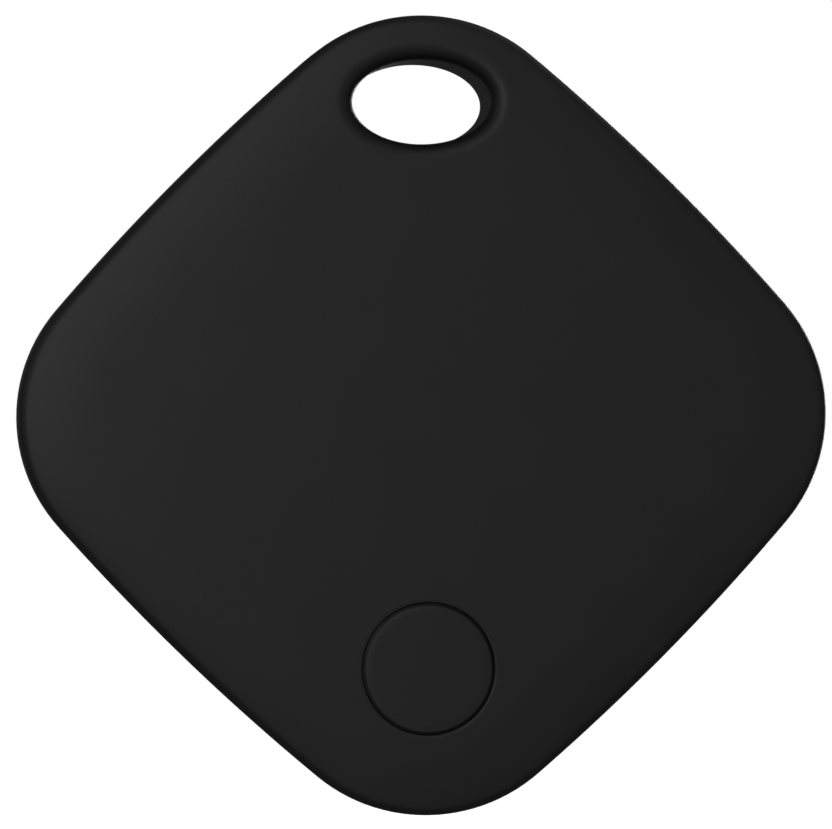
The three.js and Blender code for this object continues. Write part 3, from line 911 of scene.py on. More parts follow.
# %% Back cover
LIP_OUTER, LIP_INNER, LIP_FRONT = 1.9, 2.6, 0.3
FINGER_LONG, BARB_OUT, BARB_FRONT, BARB_REAR = 5.0, 1.55, -0.75, -0.25
NOTCH_WIDE, NOTCH_DEEP, NOTCH_REAR = 8.0, 0.9, 2.1
OVERLAP, SHELF_OVERLAP, LIP_OVERLAP = 0.05, 0.02, 0.075
RIDGE_OUTER, RIDGE_INNER, RIDGE_GAP = 0.5, 1.0, 0.02

combine(rear, [room("core", LIP_INNER, -FAR, REAR_INNER_Y)], "DIFFERENCE")
lip = band("lip", LIP_OUTER, LIP_INNER, LIP_FRONT, PART_REAR_Y + LIP_OVERLAP)
shelf_low, shelf_high = PART_REAR_Y - SHELF_OVERLAP, REAR_INNER_Y + OVERLAP
shelf = band("shelf", LIP_OUTER, LIP_INNER, shelf_low, shelf_high)
ridge_front_y = PART_FRONT_Y + RIDGE_GAP
ridge = slab("ridge", ring_at(RIDGE_OUTER), ridge_front_y, PART_REAR_Y + OVERLAP)
inside = slab("inside", ring_at(RIDGE_INNER), ridge_front_y - 1, PART_REAR_Y + 1)
combine(ridge, [inside], "DIFFERENCE")
parts = [lip, shelf, ridge]
for angle in SIDE_ANGLES:
    half = FINGER_LONG / 2
    inner = SIDE_REACH - LIP_INNER
    stem = brick(
        "stem",
        (inner, BARB_REAR - OVERLAP, CENTRE_Z - half),
        (SIDE_REACH - LIP_OUTER, LIP_FRONT + OVERLAP, CENTRE_Z + half),
    )
    barb = brick(
        "barb",
        (inner, BARB_FRONT, CENTRE_Z - half),
        (SIDE_REACH - BARB_OUT, BARB_REAR, CENTRE_Z + half),
        edge=0.08,
    )
    parts += [turn_round(stem, angle), turn_round(barb, angle)]
combine(rear, parts, "UNION")
bottom = shell_low.z
notch = brick(
    "notch",
    (-NOTCH_WIDE / 2, 0, bottom - 1),
    (NOTCH_WIDE / 2, NOTCH_REAR, bottom + NOTCH_DEEP),
    edge=0.25,
)
combine(rear, [notch], "DIFFERENCE")
finish_piece(rear, "cover", CASE_ABS, ["rear_cover"])
print("back cover:", len(rear.data.polygons), "faces")

# %% [markdown]
# ## The seal
#
# A soft ring sits on the outside of the lip and is squeezed when the cover goes on, which keeps
# rain out. It is moulded silicone: dull, slightly dusty looking, and with no sharp edge anywhere.


# %% Seal
def moulded_silicone():
    # Silicone is soft and a little oily, so it shows a wide weak sheen over a mid grey.
    made, tree, shader = material("moulded_silicone", "#4a4d50", 0.62, ior=1.41)
    place = here(tree)
    mottle(tree, shader, "#46494c", "#505357", 3.0, place)
    grain(tree, shader, 0.3, 0.006, place)
    shader.inputs["Sheen Weight"].default_value = 0.1
    return made


SEAL_OUTER, SEAL_INNER = 1.26, 1.84
SEAL_FRONT_Y, SEAL_REAR_Y = 0.64, 1.22
seal = band("case_seal", SEAL_OUTER, SEAL_INNER, SEAL_FRONT_Y, SEAL_REAR_Y)
soften(seal, 0.14, angle=50)
finish_piece(seal, "cover", moulded_silicone(), ["case_gasket"])
print("seal:", len(seal.data.polygons), "faces")

# %% [markdown]
# ## The button
#
# The button is a separate moulding in the same plastic. Its face carries on the dome of the case,
# so only a hairline ring shows where it is. Just under the face the cap grows a little wider, which
# closes most of the gap: dirt stays out, and the ring reads as a fine line and not as a black slot.
# A wider flange behind it stops it falling out of the front.

# %% Button cap
CAP_R, CAP_EDGE, CAP_EDGE_STEPS = 3.47, 0.08, 4
CAP_COLLAR_R, CAP_COLLAR_DEEP, CAP_COLLAR_SLOPE = 3.565, 0.17, 0.04
FLANGE_R, FLANGE_FRONT_Y, FLANGE_REAR_Y = 4.2, POCKET_Y + GLUE_LINE, -2.85
FLANGE_EDGE = 0.06
STEM_R, STEM_END_Y = 0.9, BUTTON_HIGH.y
FACE_RINGS = 9


def button_cap():
    """The cap's domed face, its edge and collar, and the flange and stem behind them."""
    shape = Shape()

    def face_height(x, z):
        return FRONT_Y + front_fall(x, z)

    def dome_ring(r, down):
        return [(x, face_height(x, z) + down, z) for x, z in circle(r, z=BUTTON_Z)]

    inner = shape.ring(dome_ring(CAP_R - CAP_EDGE, 0.0))
    spots = []
    for share in range(1, FACE_RINGS):
        spots += circle((CAP_R - CAP_EDGE) * share / FACE_RINGS, 12 * share, z=BUTTON_Z)
    spots.append((0.0, BUTTON_Z))
    shape.fill(inner, [], spots, face_height)
    rings = []
    for i in range(1, CAP_EDGE_STEPS + 1):
        turn = math.pi / 2 * i / CAP_EDGE_STEPS
        r = CAP_R - CAP_EDGE * (1 - math.sin(turn))
        rings.append(dome_ring(r, CAP_EDGE * (1 - math.cos(turn))))
    rings.append(dome_ring(CAP_R, CAP_COLLAR_DEEP))
    rings.append(dome_ring(CAP_COLLAR_R, CAP_COLLAR_DEEP + CAP_COLLAR_SLOPE))
    body = (
        (CAP_COLLAR_R, FLANGE_FRONT_Y),
        (FLANGE_R - FLANGE_EDGE, FLANGE_FRONT_Y),
        (FLANGE_R, FLANGE_FRONT_Y + FLANGE_EDGE),
        (FLANGE_R, FLANGE_REAR_Y - FLANGE_EDGE),
        (FLANGE_R - FLANGE_EDGE, FLANGE_REAR_Y),
        (STEM_R, FLANGE_REAR_Y),
        (STEM_R, STEM_END_Y),
    )
    rings += [[(x, y, z) for x, z in circle(r, z=BUTTON_Z)] for r, y in body]
    _, stem_end = shape.tube(rings, inner)
    shape.cap(stem_end)
    return mesh_object("button_moulding", shape)


button = button_cap()
finish_piece(button, "button", CASE_ABS, ["button_cap"])
print("button:", len(button.data.polygons), "faces")

# %% [markdown]
# ## Metals
#
# Small electronics hold more kinds of metal than one would think. Nickel lids and cell cans are
# slightly warm and drawn, springs are gold plated so they never tarnish, screws are bright zinc and
# the sounder's disc is rolled brass. One function makes them all: the colour is the metal's own
# reflectance, and a stretched noise gives the direction in which it was rolled or drawn.


# %% Metals
def worked_metal(name, colour, roughness, stretch, size=0.25, height=0.003):
    """Metal with tool marks. stretch is how the marks' pattern is squeezed along x, y and z."""
    made, tree, shader = material(name, colour, roughness, metallic=1.0)
    squeeze = put(tree, "ShaderNodeMapping", {"Vector": here(tree), "Scale": stretch})
    noise = grain(tree, shader, size, height, squeeze.outputs["Vector"])
    spread = put(
        tree,
        "ShaderNodeMapRange",
        {"Value": noise.outputs["Fac"], "To Min": roughness - 0.06, "To Max": roughness + 0.1},
    )
    tree.links.new(spread.outputs["Result"], shader.inputs["Roughness"])
    return made


# A nickel plated lid is a warm pale grey with soft marks from the press.
PRESSED_NICKEL = worked_metal("pressed_nickel_lid", "#cfcbc2", 0.3, (1, 1, 6))
# Reflowed tin is bright, soft-edged and a little lumpy.
REFLOWED_TIN = worked_metal("reflowed_tin", "#d8d6d0", 0.28, (1, 1, 1), size=0.4, height=0.02)
# A flash of gold over bronze: yellow, smooth, with marks along the strip.
GOLD_OVER_BRONZE = worked_metal("gold_over_bronze", "#e0b05a", 0.24, (0.3, 1, 4))
# Rolled spring steel is a cooler grey with long fine roll lines.
ROLLED_SPRING_STEEL = worked_metal("rolled_spring_steel", "#b4b6b8", 0.3, (0.2, 1, 5))
# Zinc plate on a screw is bright with a faint blue cast.
ZINC_PLATE = worked_metal("zinc_plate", "#bfc4c8", 0.32, (1, 1, 1), size=0.15)
# Brass disc, rolled and then dulled by handling.
ROLLED_BRASS = worked_metal("rolled_brass", "#caa45c", 0.34, (0.25, 1, 4))
# The can of a coin cell is drawn from nickel plated steel and tumbled, so it has a silky face.
TUMBLED_CAN_STEEL = worked_metal("tumbled_can_steel", "#c6c6c4", 0.3, (1, 1, 1), size=0.12)
print("metals:", [m.name for m in bpy.data.materials if m.use_nodes][-7:])

# %% [markdown]
# ## Plastics and ceramics inside
#
# The parts inside are plainer than the case but still differ: the tray is a satin grey-black, nylon
# is milky and lets light in a little, chips are epoxy with a sanded top, and ceramics are smooth,
# glassy and never quite one colour.


# %% Plastics and ceramics
def moulded(name, one, other, roughness, patch, grain_size, grain_height, ior=1.5, glow=0.0):
    """A moulded or fired material that drifts between two close colours over a fine grain."""
    made, tree, shader = material(name, one, roughness, ior=ior)
    place = here(tree)
    mottle(tree, shader, one, other, patch, place)
    grain(tree, shader, grain_size, grain_height, place)
    if glow:
        shader.inputs["Subsurface Weight"].default_value = glow
        shader.inputs["Subsurface Scale"].default_value = 0.6 * MM
    return made


# Satin moulded plastic of the cell's tray, a shade lighter than the case.
SATIN_ABS = moulded("satin_tray_abs", "#343436", "#3a3a3d", 0.42, 3.0, 0.2, 0.004, ior=1.53)
# Nylon is milky: light goes in and comes out a little further on.
MILKY_NYLON = moulded(
    "milky_nylon", "#e9e3d2", "#ded7c4", 0.4, 1.5, 0.15, 0.004, ior=1.53, glow=0.25
)
# Chip epoxy is a dense charcoal, sanded on top before marking.
SANDED_EPOXY = moulded("sanded_chip_epoxy", "#1c1c1e", "#252527", 0.5, 0.8, 0.08, 0.006)
# Pressed ferrite powder: dark, slightly metallic grey, and gritty.
PRESSED_FERRITE = moulded("pressed_ferrite", "#3c3c3f", "#48474a", 0.55, 0.6, 0.1, 0.015, ior=1.8)
# Capacitor ceramic is a dense tan brown with a glassy skin.
CAPACITOR_CERAMIC = moulded(
    "capacitor_ceramic", "#8a6544", "#9a7350", 0.3, 0.4, 0.1, 0.003, ior=1.7
)
# White alumina, the body under a resistor's black glaze.
FIRED_ALUMINA = moulded("fired_alumina", "#e6e3da", "#d8d4ca", 0.35, 0.6, 0.08, 0.003, ior=1.7)
# A resistor's top is a drop of black glass glaze.
BLACK_GLAZE = moulded("black_glaze", "#141416", "#1c1c20", 0.16, 0.4, 0.2, 0.006)
# Low-loss antenna ceramic, off-white.
ANTENNA_CERAMIC = moulded("antenna_ceramic", "#d9d0ba", "#cdc4ae", 0.32, 0.8, 0.1, 0.003, ior=1.7)
# Silvered piezo ceramic looks like white china with a silver bloom.
SILVERED_PIEZO = moulded("silvered_piezo", "#d5d2ca", "#c4c1ba", 0.3, 1.2, 0.12, 0.004, ior=1.7)
# Double-sided tape: white carrier, slightly fibrous edge.
WHITE_TAPE = moulded("white_foam_tape", "#e6e5df", "#d6d5ce", 0.7, 0.5, 0.12, 0.02)
# Soft wire insulation has a greasy shine.
RED_INSULATION = moulded("red_wire_insulation", "#b0201c", "#9a1a17", 0.35, 1.0, 0.2, 0.004)
BLACK_INSULATION = moulded("black_wire_insulation", "#18181a", "#202022", 0.35, 1.0, 0.2, 0.004)
print("plastics and ceramics ready")

# %% [markdown]
# ## The circuit board
#
# The board is glass-fibre sheet under a green lacquer that is thin enough to show the copper tracks
# beneath as a lighter green, and open over the gold plated contact pads. Both are drawn in the
# material: tracks run on a fine grid that a coarse cell pattern turns by a quarter here and there,
# and small gold dots are the vias.


# %% Board
def green_solder_mask():
    # The lacquer is glossy, and the tracks under it stand a hair proud.
    made, tree, shader = material("green_solder_mask", "#12502c", 0.28, ior=1.52)
    place = here(tree)
    flat = put(tree, "ShaderNodeMapping", {"Vector": place, "Scale": (1, 0, 1)})
    blocks = put(
        tree,
        "ShaderNodeTexVoronoi",
        {"Vector": flat.outputs["Vector"], "Scale": per_mm(3.2)},
        feature="F1",
        distance="CHEBYCHEV",
    )
    across, upwards = [
        put(
            tree,
            "ShaderNodeTexWave",
            {"Vector": flat.outputs["Vector"], "Scale": per_mm(0.7) / 20, "Distortion": 0.0},
            bands_direction=direction,
        )
        for direction in "XZ"
    ]
    split = put(tree, "ShaderNodeSeparateColor", {"Color": blocks.outputs["Color"]})
    turned_here = put(
        tree, "ShaderNodeMath", {0: split.outputs["Red"], 1: 0.5}, operation="GREATER_THAN"
    )
    track = put(
        tree,
        "ShaderNodeMix",
        {"Factor": turned_here.outputs[0], "A": across.outputs["Fac"], "B": upwards.outputs["Fac"]},
        data_type="FLOAT",
    )
    has_tracks = put(
        tree, "ShaderNodeMath", {0: split.outputs["Green"], 1: 0.35}, operation="GREATER_THAN"
    )
    proud = put(
        tree, "ShaderNodeMath", {0: track.outputs["Result"], 1: 0.6}, operation="GREATER_THAN"
    )
    copper = put(
        tree,
        "ShaderNodeMath",
        {0: proud.outputs[0], 1: has_tracks.outputs[0]},
        operation="MULTIPLY",
    )
    lacquer = put(
        tree,
        "ShaderNodeMix",
        {"Factor": copper.outputs[0], "A": linear("#0e4426"), "B": linear("#1d6b3d")},
        data_type="RGBA",
    )
    dots = put(
        tree, "ShaderNodeTexVoronoi", {"Vector": flat.outputs["Vector"], "Scale": per_mm(1.9)}
    )
    via = put(tree, "ShaderNodeMath", {0: dots.outputs["Distance"], 1: 0.1}, operation="LESS_THAN")
    skin = put(
        tree,
        "ShaderNodeMix",
        {"Factor": via.outputs[0], "A": lacquer.outputs["Result"], "B": linear("#d8b25e")},
        data_type="RGBA",
    )
    tree.links.new(skin.outputs["Result"], shader.inputs["Base Color"])
    tree.links.new(via.outputs[0], shader.inputs["Metallic"])
    bump = put(tree, "ShaderNodeBump", {"Height": copper.outputs[0], "Distance": 0.02 * MM})
    tree.links.new(bump.outputs["Normal"], shader.inputs["Normal"])
    return made


BOARD_INSET, SCREW_CLEAR_R = 1.6, 0.75
board = room("board_sheet", BOARD_INSET, BOARD_FRONT_Y, BOARD_REAR_Y, BOARD_INSET - SIDE_WALL)
combine(board, screw_holes(SCREW_CLEAR_R, *THROUGH_Y), "DIFFERENCE")
soften(board, 0.04, steps=2, angle=60)
finish_piece(board, "case", green_solder_mask(), ["circuit_board"])
print("board:", len(board.data.polygons), "faces")

# %% [markdown]
# ## Parts soldered to the board
#
# Each soldered part is drawn inside its own box in the working model, so nothing has to be placed
# by hand. A chip has a ring of tin feet just showing under its edge and a moulded dimple in one
# corner.


# %% Chips
FOOT_WIDE, FOOT_TALL, FOOT_PROUD = 0.28, 0.12, 0.02


def split_box(node, low, high):
    """Part of a node's box: low and high are shares from 0 to 1 in x, y and z."""
    start, end = box_mm(node)
    size = end - start
    corner = [start[i] + size[i] * low[i] for i in range(3)]
    other = [start[i] + size[i] * high[i] for i in range(3)]
    return corner, other


def absorb(piece, other):
    """Adds another object's mesh to the piece, without merging."""
    work = bmesh.new()
    work.from_mesh(piece.data)
    work.from_mesh(other.data)
    work.to_mesh(piece.data)
    work.free()
    bpy.data.objects.remove(other)
    return piece


def tin_feet(node, count):
    """Small tin pads round a chip's lower edge, `count` on each side."""
    start, end = box_mm(node)
    centre = (start + end) / 2
    whole = None
    for side in (0, 2):
        other = 2 - side
        for edge in (start, end):
            inner = edge[side] * 0.98 + 0.02 * centre[side]
            for i in range(count):
                at = start[other] + (end[other] - start[other]) * (i + 0.5) / count
                low, high = [0.0] * 3, [0.0] * 3
                low[1], high[1] = start.y, start.y + FOOT_TALL
                low[side] = min(edge[side], inner) - FOOT_PROUD
                high[side] = max(edge[side], inner) + FOOT_PROUD
                low[other], high[other] = at - FOOT_WIDE / 2, at + FOOT_WIDE / 2
                foot = brick(node + "_feet", low, high)
                whole = absorb(whole, foot) if whole else foot
    return whole


def chip(node, feet):
    """An epoxy body with a dimple at pin one, on a ring of tin feet."""
    low, high = box_mm(node)
    wide = high.x - low.x
    body = brick(node + "_body", (low.x, low.y + 0.03, low.z), tuple(high), edge=0.07)
    inset, r = 0.18 * wide, 0.06 * wide + 0.06
    over = high.y + 0.1
    bowl = [(0, high.y - 0.06), (r * 0.7, high.y - 0.05), (r, over), (0, over)]
    dimple = turned("dimple", bowl, low.x + inset, high.z - inset, 32)
    combine(body, [dimple], "DIFFERENCE")
    finish_piece(body, "case", SANDED_EPOXY, [node])
    finish_piece(tin_feet(node, feet), "case", REFLOWED_TIN)


chip("radio_chip", 8)
chip("motion_sensor", 4)
print("chips ready")

# %% [markdown]
# ## Crystals, capacitors and resistors
#
# Crystals are a metal lid on a ceramic base. Capacitors and resistors are small bars with tin ends,
# and a resistor wears its element on top under a drop of black glass.


# %% Crystals and bars
CAP_SHARE, GLAZE_FROM = 0.23, 0.8


def crystal(node):
    """A pressed lid, a little smaller than the ceramic tub it closes."""
    base = brick(node + "_base", *split_box(node, (0, 0, 0), (1, 0.35, 1)), edge=0.06)
    lid = brick(node + "_lid", *split_box(node, (0.05, 0.35, 0.07), (0.95, 1, 0.93)), edge=0.12)
    finish_piece(base, "case", FIRED_ALUMINA)
    finish_piece(lid, "case", PRESSED_NICKEL, [node])


def bar_part(node, paint, top_paint=None):
    """A capacitor or resistor: a bar with a tin cap on each end of its long side."""
    low, high = box_mm(node)
    along = 0 if high.x - low.x > high.z - low.z else 2
    start, end = [0.03, 0.03, 0.03], [0.97, 0.97, 0.97]
    start[along], end[along] = CAP_SHARE - 0.03, 1.03 - CAP_SHARE
    if top_paint:
        end[1] = GLAZE_FROM
    body = brick(node + "_body", *split_box(node, start, end), edge=0.03)
    finish_piece(body, "case", paint, [node])
    if top_paint:
        start[1], end[1] = GLAZE_FROM, 0.98
        glaze = brick(node + "_glaze", *split_box(node, start, end), edge=0.03)
        finish_piece(glaze, "case", top_paint)
    for name, share in (("left", (0, CAP_SHARE)), ("right", (1 - CAP_SHARE, 1))):
        start, end = [0, 0, 0], [1, 1, 1]
        start[along], end[along] = share
        end_cap = brick(f"{node}_{name}_end", *split_box(node, start, end), edge=0.06)
        finish_piece(end_cap, "case", REFLOWED_TIN)


crystal("main_crystal")
crystal("clock_crystal")
for i in range(1, 7):
    bar_part(f"capacitor_{i}", CAPACITOR_CERAMIC)
for i in range(1, 5):
    bar_part(f"resistor_{i}", FIRED_ALUMINA, BLACK_GLAZE)
print("2 crystals, 6 capacitors, 4 resistors")

# %% [markdown]
# ## Antenna and inductor
#
# The antenna is a block of ceramic with a printed silver line folded back and forth on top. The
# inductor is a wound wire pressed into ferrite powder, which shows only as a rounded block with a
# plated foot at each end.

# %% Antenna and inductor
antenna = brick("antenna_block", *split_box("chip_antenna", (0, 0, 0), (1, 0.95, 1)), edge=0.06)
finish_piece(antenna, "case", ANTENNA_CERAMIC, ["chip_antenna"])
LINE_TURNS, LINE_HALF = 7, 0.03
heights = [0.1 + 0.8 * i / (LINE_TURNS - 1) for i in range(LINE_TURNS)]
line = None
for i, at in enumerate(heights):
    run_box = split_box("chip_antenna", (0.12, 0.93, at - LINE_HALF), (0.88, 1, at + LINE_HALF))
    run = brick("antenna_line", *run_box)
    line = absorb(line, run) if line else run
    if i < LINE_TURNS - 1:
        left, right = (0.82, 0.88) if i % 2 else (0.12, 0.18)
        link = split_box("chip_antenna", (left, 0.93, at), (right, 0.999, heights[i + 1]))
        absorb(line, brick("link", *link))
finish_piece(line, "case", REFLOWED_TIN)

choke_box = split_box("boost_inductor", (0.03, 0.04, 0), (0.97, 1, 1))
choke = brick("choke_block", *choke_box, edge=0.2)
finish_piece(choke, "case", PRESSED_FERRITE, ["boost_inductor"])
for name, start, end in (("left", 0, 0.12), ("right", 0.88, 1)):
    foot = split_box("boost_inductor", (start, 0, 0.2), (end, 0.45, 0.8))
    finish_piece(brick(f"choke_{name}_foot", *foot, edge=0.05), "case", REFLOWED_TIN)
print("antenna and inductor ready")

# %% [markdown]
# ## The switch
#
# Under the button is a small metal-topped switch: a black base with a round well, and a thin snap
# dome that stands in it. The dome flattens when the pin on it comes down. Here it is hung on the
# case and gets a mesh of its own.

# %% Switch base and snap dome
WELL_R, WELL_Y = 1.7, -1.95
DOME_THICK, DOME_RISE, DOME_R, DOME_STEPS = 0.06, 0.28, 1.5, 10
DOME_FOOT_Y = WELL_Y - 0.01

base_low, base_high = box_mm("switch_base")
base = brick("switch_block", tuple(base_low), tuple(base_high), edge=0.08)
combine(base, [plug(WELL_R, THROUGH_Y[0], WELL_Y, z=BUTTON_Z, sides=64)], "DIFFERENCE")
finish_piece(base, "case", SANDED_EPOXY, ["switch_base"])

dome_profile = []
for i in range(DOME_STEPS + 1):
    share = i / DOME_STEPS
    dome_profile.append((DOME_R * share, DOME_FOOT_Y - DOME_RISE * (1 - share**2)))
under = [(r, min(DOME_FOOT_Y, y + DOME_THICK)) for r, y in dome_profile[:-1]]
dome = turned("snap_dome", dome_profile + under[::-1], 0, BUTTON_Z, 64)
finish_piece(dome, "case", ROLLED_SPRING_STEEL, ["switch_dome"])
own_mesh(dome)
print(f"snap dome rises {DOME_RISE} mm")

# %% [markdown]
# ## The switch's pin and cover
#
# A nylon pin carries the button's push to the dome. A folded steel cover holds both in: its top has
# a round hole for the pin, and a tab on each side clips over the base.

# %% Switch pin and cover
PIN_R, PIN_EDGE, PIN_FOOT_R, PIN_FOOT_TALL = 0.8, 0.06, 1.15, 0.1
pin_low, pin_high = box_mm("switch_plunger")
pin = turned(
    "switch_pin",
    [
        (0, pin_low.y),
        (PIN_R - PIN_EDGE, pin_low.y),
        (PIN_R, pin_low.y + PIN_EDGE),
        (PIN_R, pin_high.y - PIN_FOOT_TALL),
        (PIN_FOOT_R, pin_high.y - PIN_FOOT_TALL),
        (PIN_FOOT_R, pin_high.y),
        (0, pin_high.y),
    ],
    z=BUTTON_Z,
    sides=48,
)
finish_piece(pin, "plunger", MILKY_NYLON, ["switch_plunger"])

SHEET, PIN_HOLE_R, TAB_HALF = 0.1, 0.9, 1
lid_low, lid_high = box_mm("switch_cover")
sheet = brick("switch_lid", tuple(lid_low), (lid_high.x, lid_low.y + SHEET, lid_high.z))
tabs = []
for side in (-1, 1):
    x0, x1 = sorted((side * (base_high.x + GLUE_LINE), side * lid_high.x))
    low = (x0, lid_low.y + SHEET / 2, BUTTON_Z - TAB_HALF)
    tabs.append(brick("tab", low, (x1, lid_high.y, BUTTON_Z + TAB_HALF)))
combine(sheet, tabs, "UNION")
combine(sheet, [plug(PIN_HOLE_R, *THROUGH_Y, z=BUTTON_Z)], "DIFFERENCE")
soften(sheet, 0.02, steps=2, angle=60)
finish_piece(sheet, "case", ROLLED_SPRING_STEEL, ["switch_cover"])
print("switch ready")

# %% [markdown]
# ## The cell
#
# A coin cell is a drawn steel can crimped over a nylon ring that holds a smaller lid. The outside
# of the can is the plus side. The lid, the minus side, faces the board.

# %% Cell can
CELL_R, CELL_FRONT_Y, CELL_REAR_Y, CAN_SHEET = 10.0, -0.6, 2.6, 0.25
CRIMP_Y = CELL_FRONT_Y + 0.2
CRIMP_LIP_R = CELL_R - 0.75
CRIMP_INNER_Y, BASE_INNER_Y = CRIMP_Y + CAN_SHEET, CELL_REAR_Y - CAN_SHEET
WALL_INNER_R = CELL_R - CAN_SHEET
PANEL_DEEP = 0.05


def rounded(r, y, size, outward, steps=5):
    """Points of a round edge of that size, from the face at y to the wall at radius r."""
    points = []
    for i in range(steps + 1):
        turn = math.pi / 2 * i / steps
        points.append((r - size * (1 - math.sin(turn)), y + outward * size * (1 - math.cos(turn))))
    return points


can = turned(
    "cell_can_drawn",
    [
        (CRIMP_LIP_R, CRIMP_Y),
        *rounded(CELL_R, CRIMP_Y, 0.22, 1),
        *rounded(CELL_R, CELL_REAR_Y, 0.25, -1)[::-1],
        (CELL_R - 1.6, CELL_REAR_Y),
        (CELL_R - 1.75, CELL_REAR_Y - PANEL_DEEP),
        (0, CELL_REAR_Y - PANEL_DEEP),
        (0, BASE_INNER_Y),
        (WALL_INNER_R, BASE_INNER_Y),
        (WALL_INNER_R, CRIMP_INNER_Y),
        (CRIMP_LIP_R, CRIMP_INNER_Y),
        (CRIMP_LIP_R, CRIMP_Y),
    ],
    sides=160,
)
finish_piece(can, "cell", TUMBLED_CAN_STEEL, ["cell_can"])
print(f"can {2 * CELL_R:.0f} mm wide")

# %% [markdown]
# ## The cell's lid and seal
#
# The lid is pressed with a small step round its edge, which the nylon ring grips. Only the ring's
# rim shows, as a pale circle between lid and can.

# %% Cell lid and seal
inner_rear = BASE_INNER_Y - 0.05
inner_r = WALL_INNER_R - 0.35
minus_lid = turned(
    "cell_lid_pressed",
    [
        (0, CELL_FRONT_Y),
        (CELL_R - 1.7, CELL_FRONT_Y),
        (CELL_R - 1.42, CELL_FRONT_Y + 0.05),
        (CELL_R - 1.27, CELL_FRONT_Y + 0.18),
        (CELL_R - 1.25, CELL_FRONT_Y + 0.6),
        (inner_r, CELL_FRONT_Y + 0.75),
        (inner_r, inner_rear),
        (0, inner_rear),
    ],
    sides=128,
)
finish_piece(minus_lid, "cell", TUMBLED_CAN_STEEL, ["cell_lid"])

seal_r = WALL_INNER_R - 0.04
seal_inner_r = seal_r - 0.26
seal_top, seal_end = CRIMP_INNER_Y + 0.03, inner_rear - 0.25
rim_inner_r, rim_outer_r, rim_y = CELL_R - 1.2, CELL_R - 0.8, CELL_FRONT_Y + 0.22
crimp_ring = turned(
    "cell_seal_ring",
    [
        (rim_inner_r, rim_y),
        (rim_outer_r, rim_y),
        (rim_outer_r, seal_top),
        (seal_r, seal_top),
        (seal_r, seal_end),
        (seal_inner_r, seal_end),
        (seal_inner_r, CELL_FRONT_Y + 0.68),
        (rim_inner_r, CELL_FRONT_Y + 0.56),
        (rim_inner_r, rim_y),
    ],
    sides=128,
)
finish_piece(crimp_ring, "cell", MILKY_NYLON, ["cell_grommet"])
print("cell ready")

# %% [markdown]
# ## The tray
#
# The tray is one moulding: a ring that the cell drops into, a ledge it rests on and three arms that
# the screws hold down. A window in the ring lets a spring reach the can's side, and a wide gap
# opposite lets a fingertip lift the cell out.

# %% Cell tray
TRAY_INNER, TRAY_OUTER, TRAY_REAR = 10.2, 11.0, 1.4
LEDGE_INNER, LEDGE_REAR = 8.9, -0.65
EAR_REAR, EAR_STEPS = -0.2, 24
TRAY_FOOT = BOARD_REAR_Y + GLUE_LINE
CLIP_ANGLE, GAP_ANGLE = 315, 180
RING_CUT_X = (8, 14)
WINDOW_HALF, WINDOW_FRONT_Y, GAP_HALF, GAP_FRONT_Y = 2.6, -1.5, 4, 0.2

tray = turned(
    "tray_moulding",
    [
        (LEDGE_INNER, TRAY_FOOT),
        (TRAY_OUTER, TRAY_FOOT),
        (TRAY_OUTER, TRAY_REAR - 0.1),
        (TRAY_OUTER - 0.1, TRAY_REAR),
        (TRAY_INNER + 0.25, TRAY_REAR),
        (TRAY_INNER, TRAY_REAR - 0.3),
        (TRAY_INNER, LEDGE_REAR),
        (LEDGE_INNER, LEDGE_REAR),
        (LEDGE_INNER, TRAY_FOOT),
    ],
    sides=160,
)
arms = []
for angle in SCREW_ANGLES:
    tongue = [(TRAY_OUTER - 0.4, CENTRE_Z + EAR_R), (TRAY_OUTER - 0.4, CENTRE_Z - EAR_R)]
    for i in range(EAR_STEPS + 1):
        turn = math.pi * (i / EAR_STEPS - 0.5)
        tongue.append((EAR_REACH + EAR_R * math.cos(turn), CENTRE_Z + EAR_R * math.sin(turn)))
    arms.append(turn_round(slab("arm", tongue, TRAY_FOOT + 0.01, EAR_REAR), angle))
combine(tray, arms, "UNION")
cuts = screw_holes(SCREW_CLEAR_R, *THROUGH_Y)
for angle, half, y, edge in (
    (CLIP_ANGLE, WINDOW_HALF, WINDOW_FRONT_Y, 0.0),
    (GAP_ANGLE, GAP_HALF, GAP_FRONT_Y, 0.4),
):
    low = (RING_CUT_X[0], y, CENTRE_Z - half)
    high = (RING_CUT_X[1], THROUGH_Y[1], CENTRE_Z + half)
    cuts.append(turn_round(brick("window", low, high, edge), angle))
combine(tray, cuts, "DIFFERENCE")
finish_piece(tray, "case", SATIN_ABS, ["battery_tray"])
print("tray:", len(tray.data.polygons), "faces")

# %% [markdown]
# ## Contact springs
#
# One spring touches the can's side through the window, and the other presses on the lid from below.
# Both are strips bent from gold plated bronze. A strip is drawn as a smooth curve through a few
# points, which is close to how a bending tool leaves it.


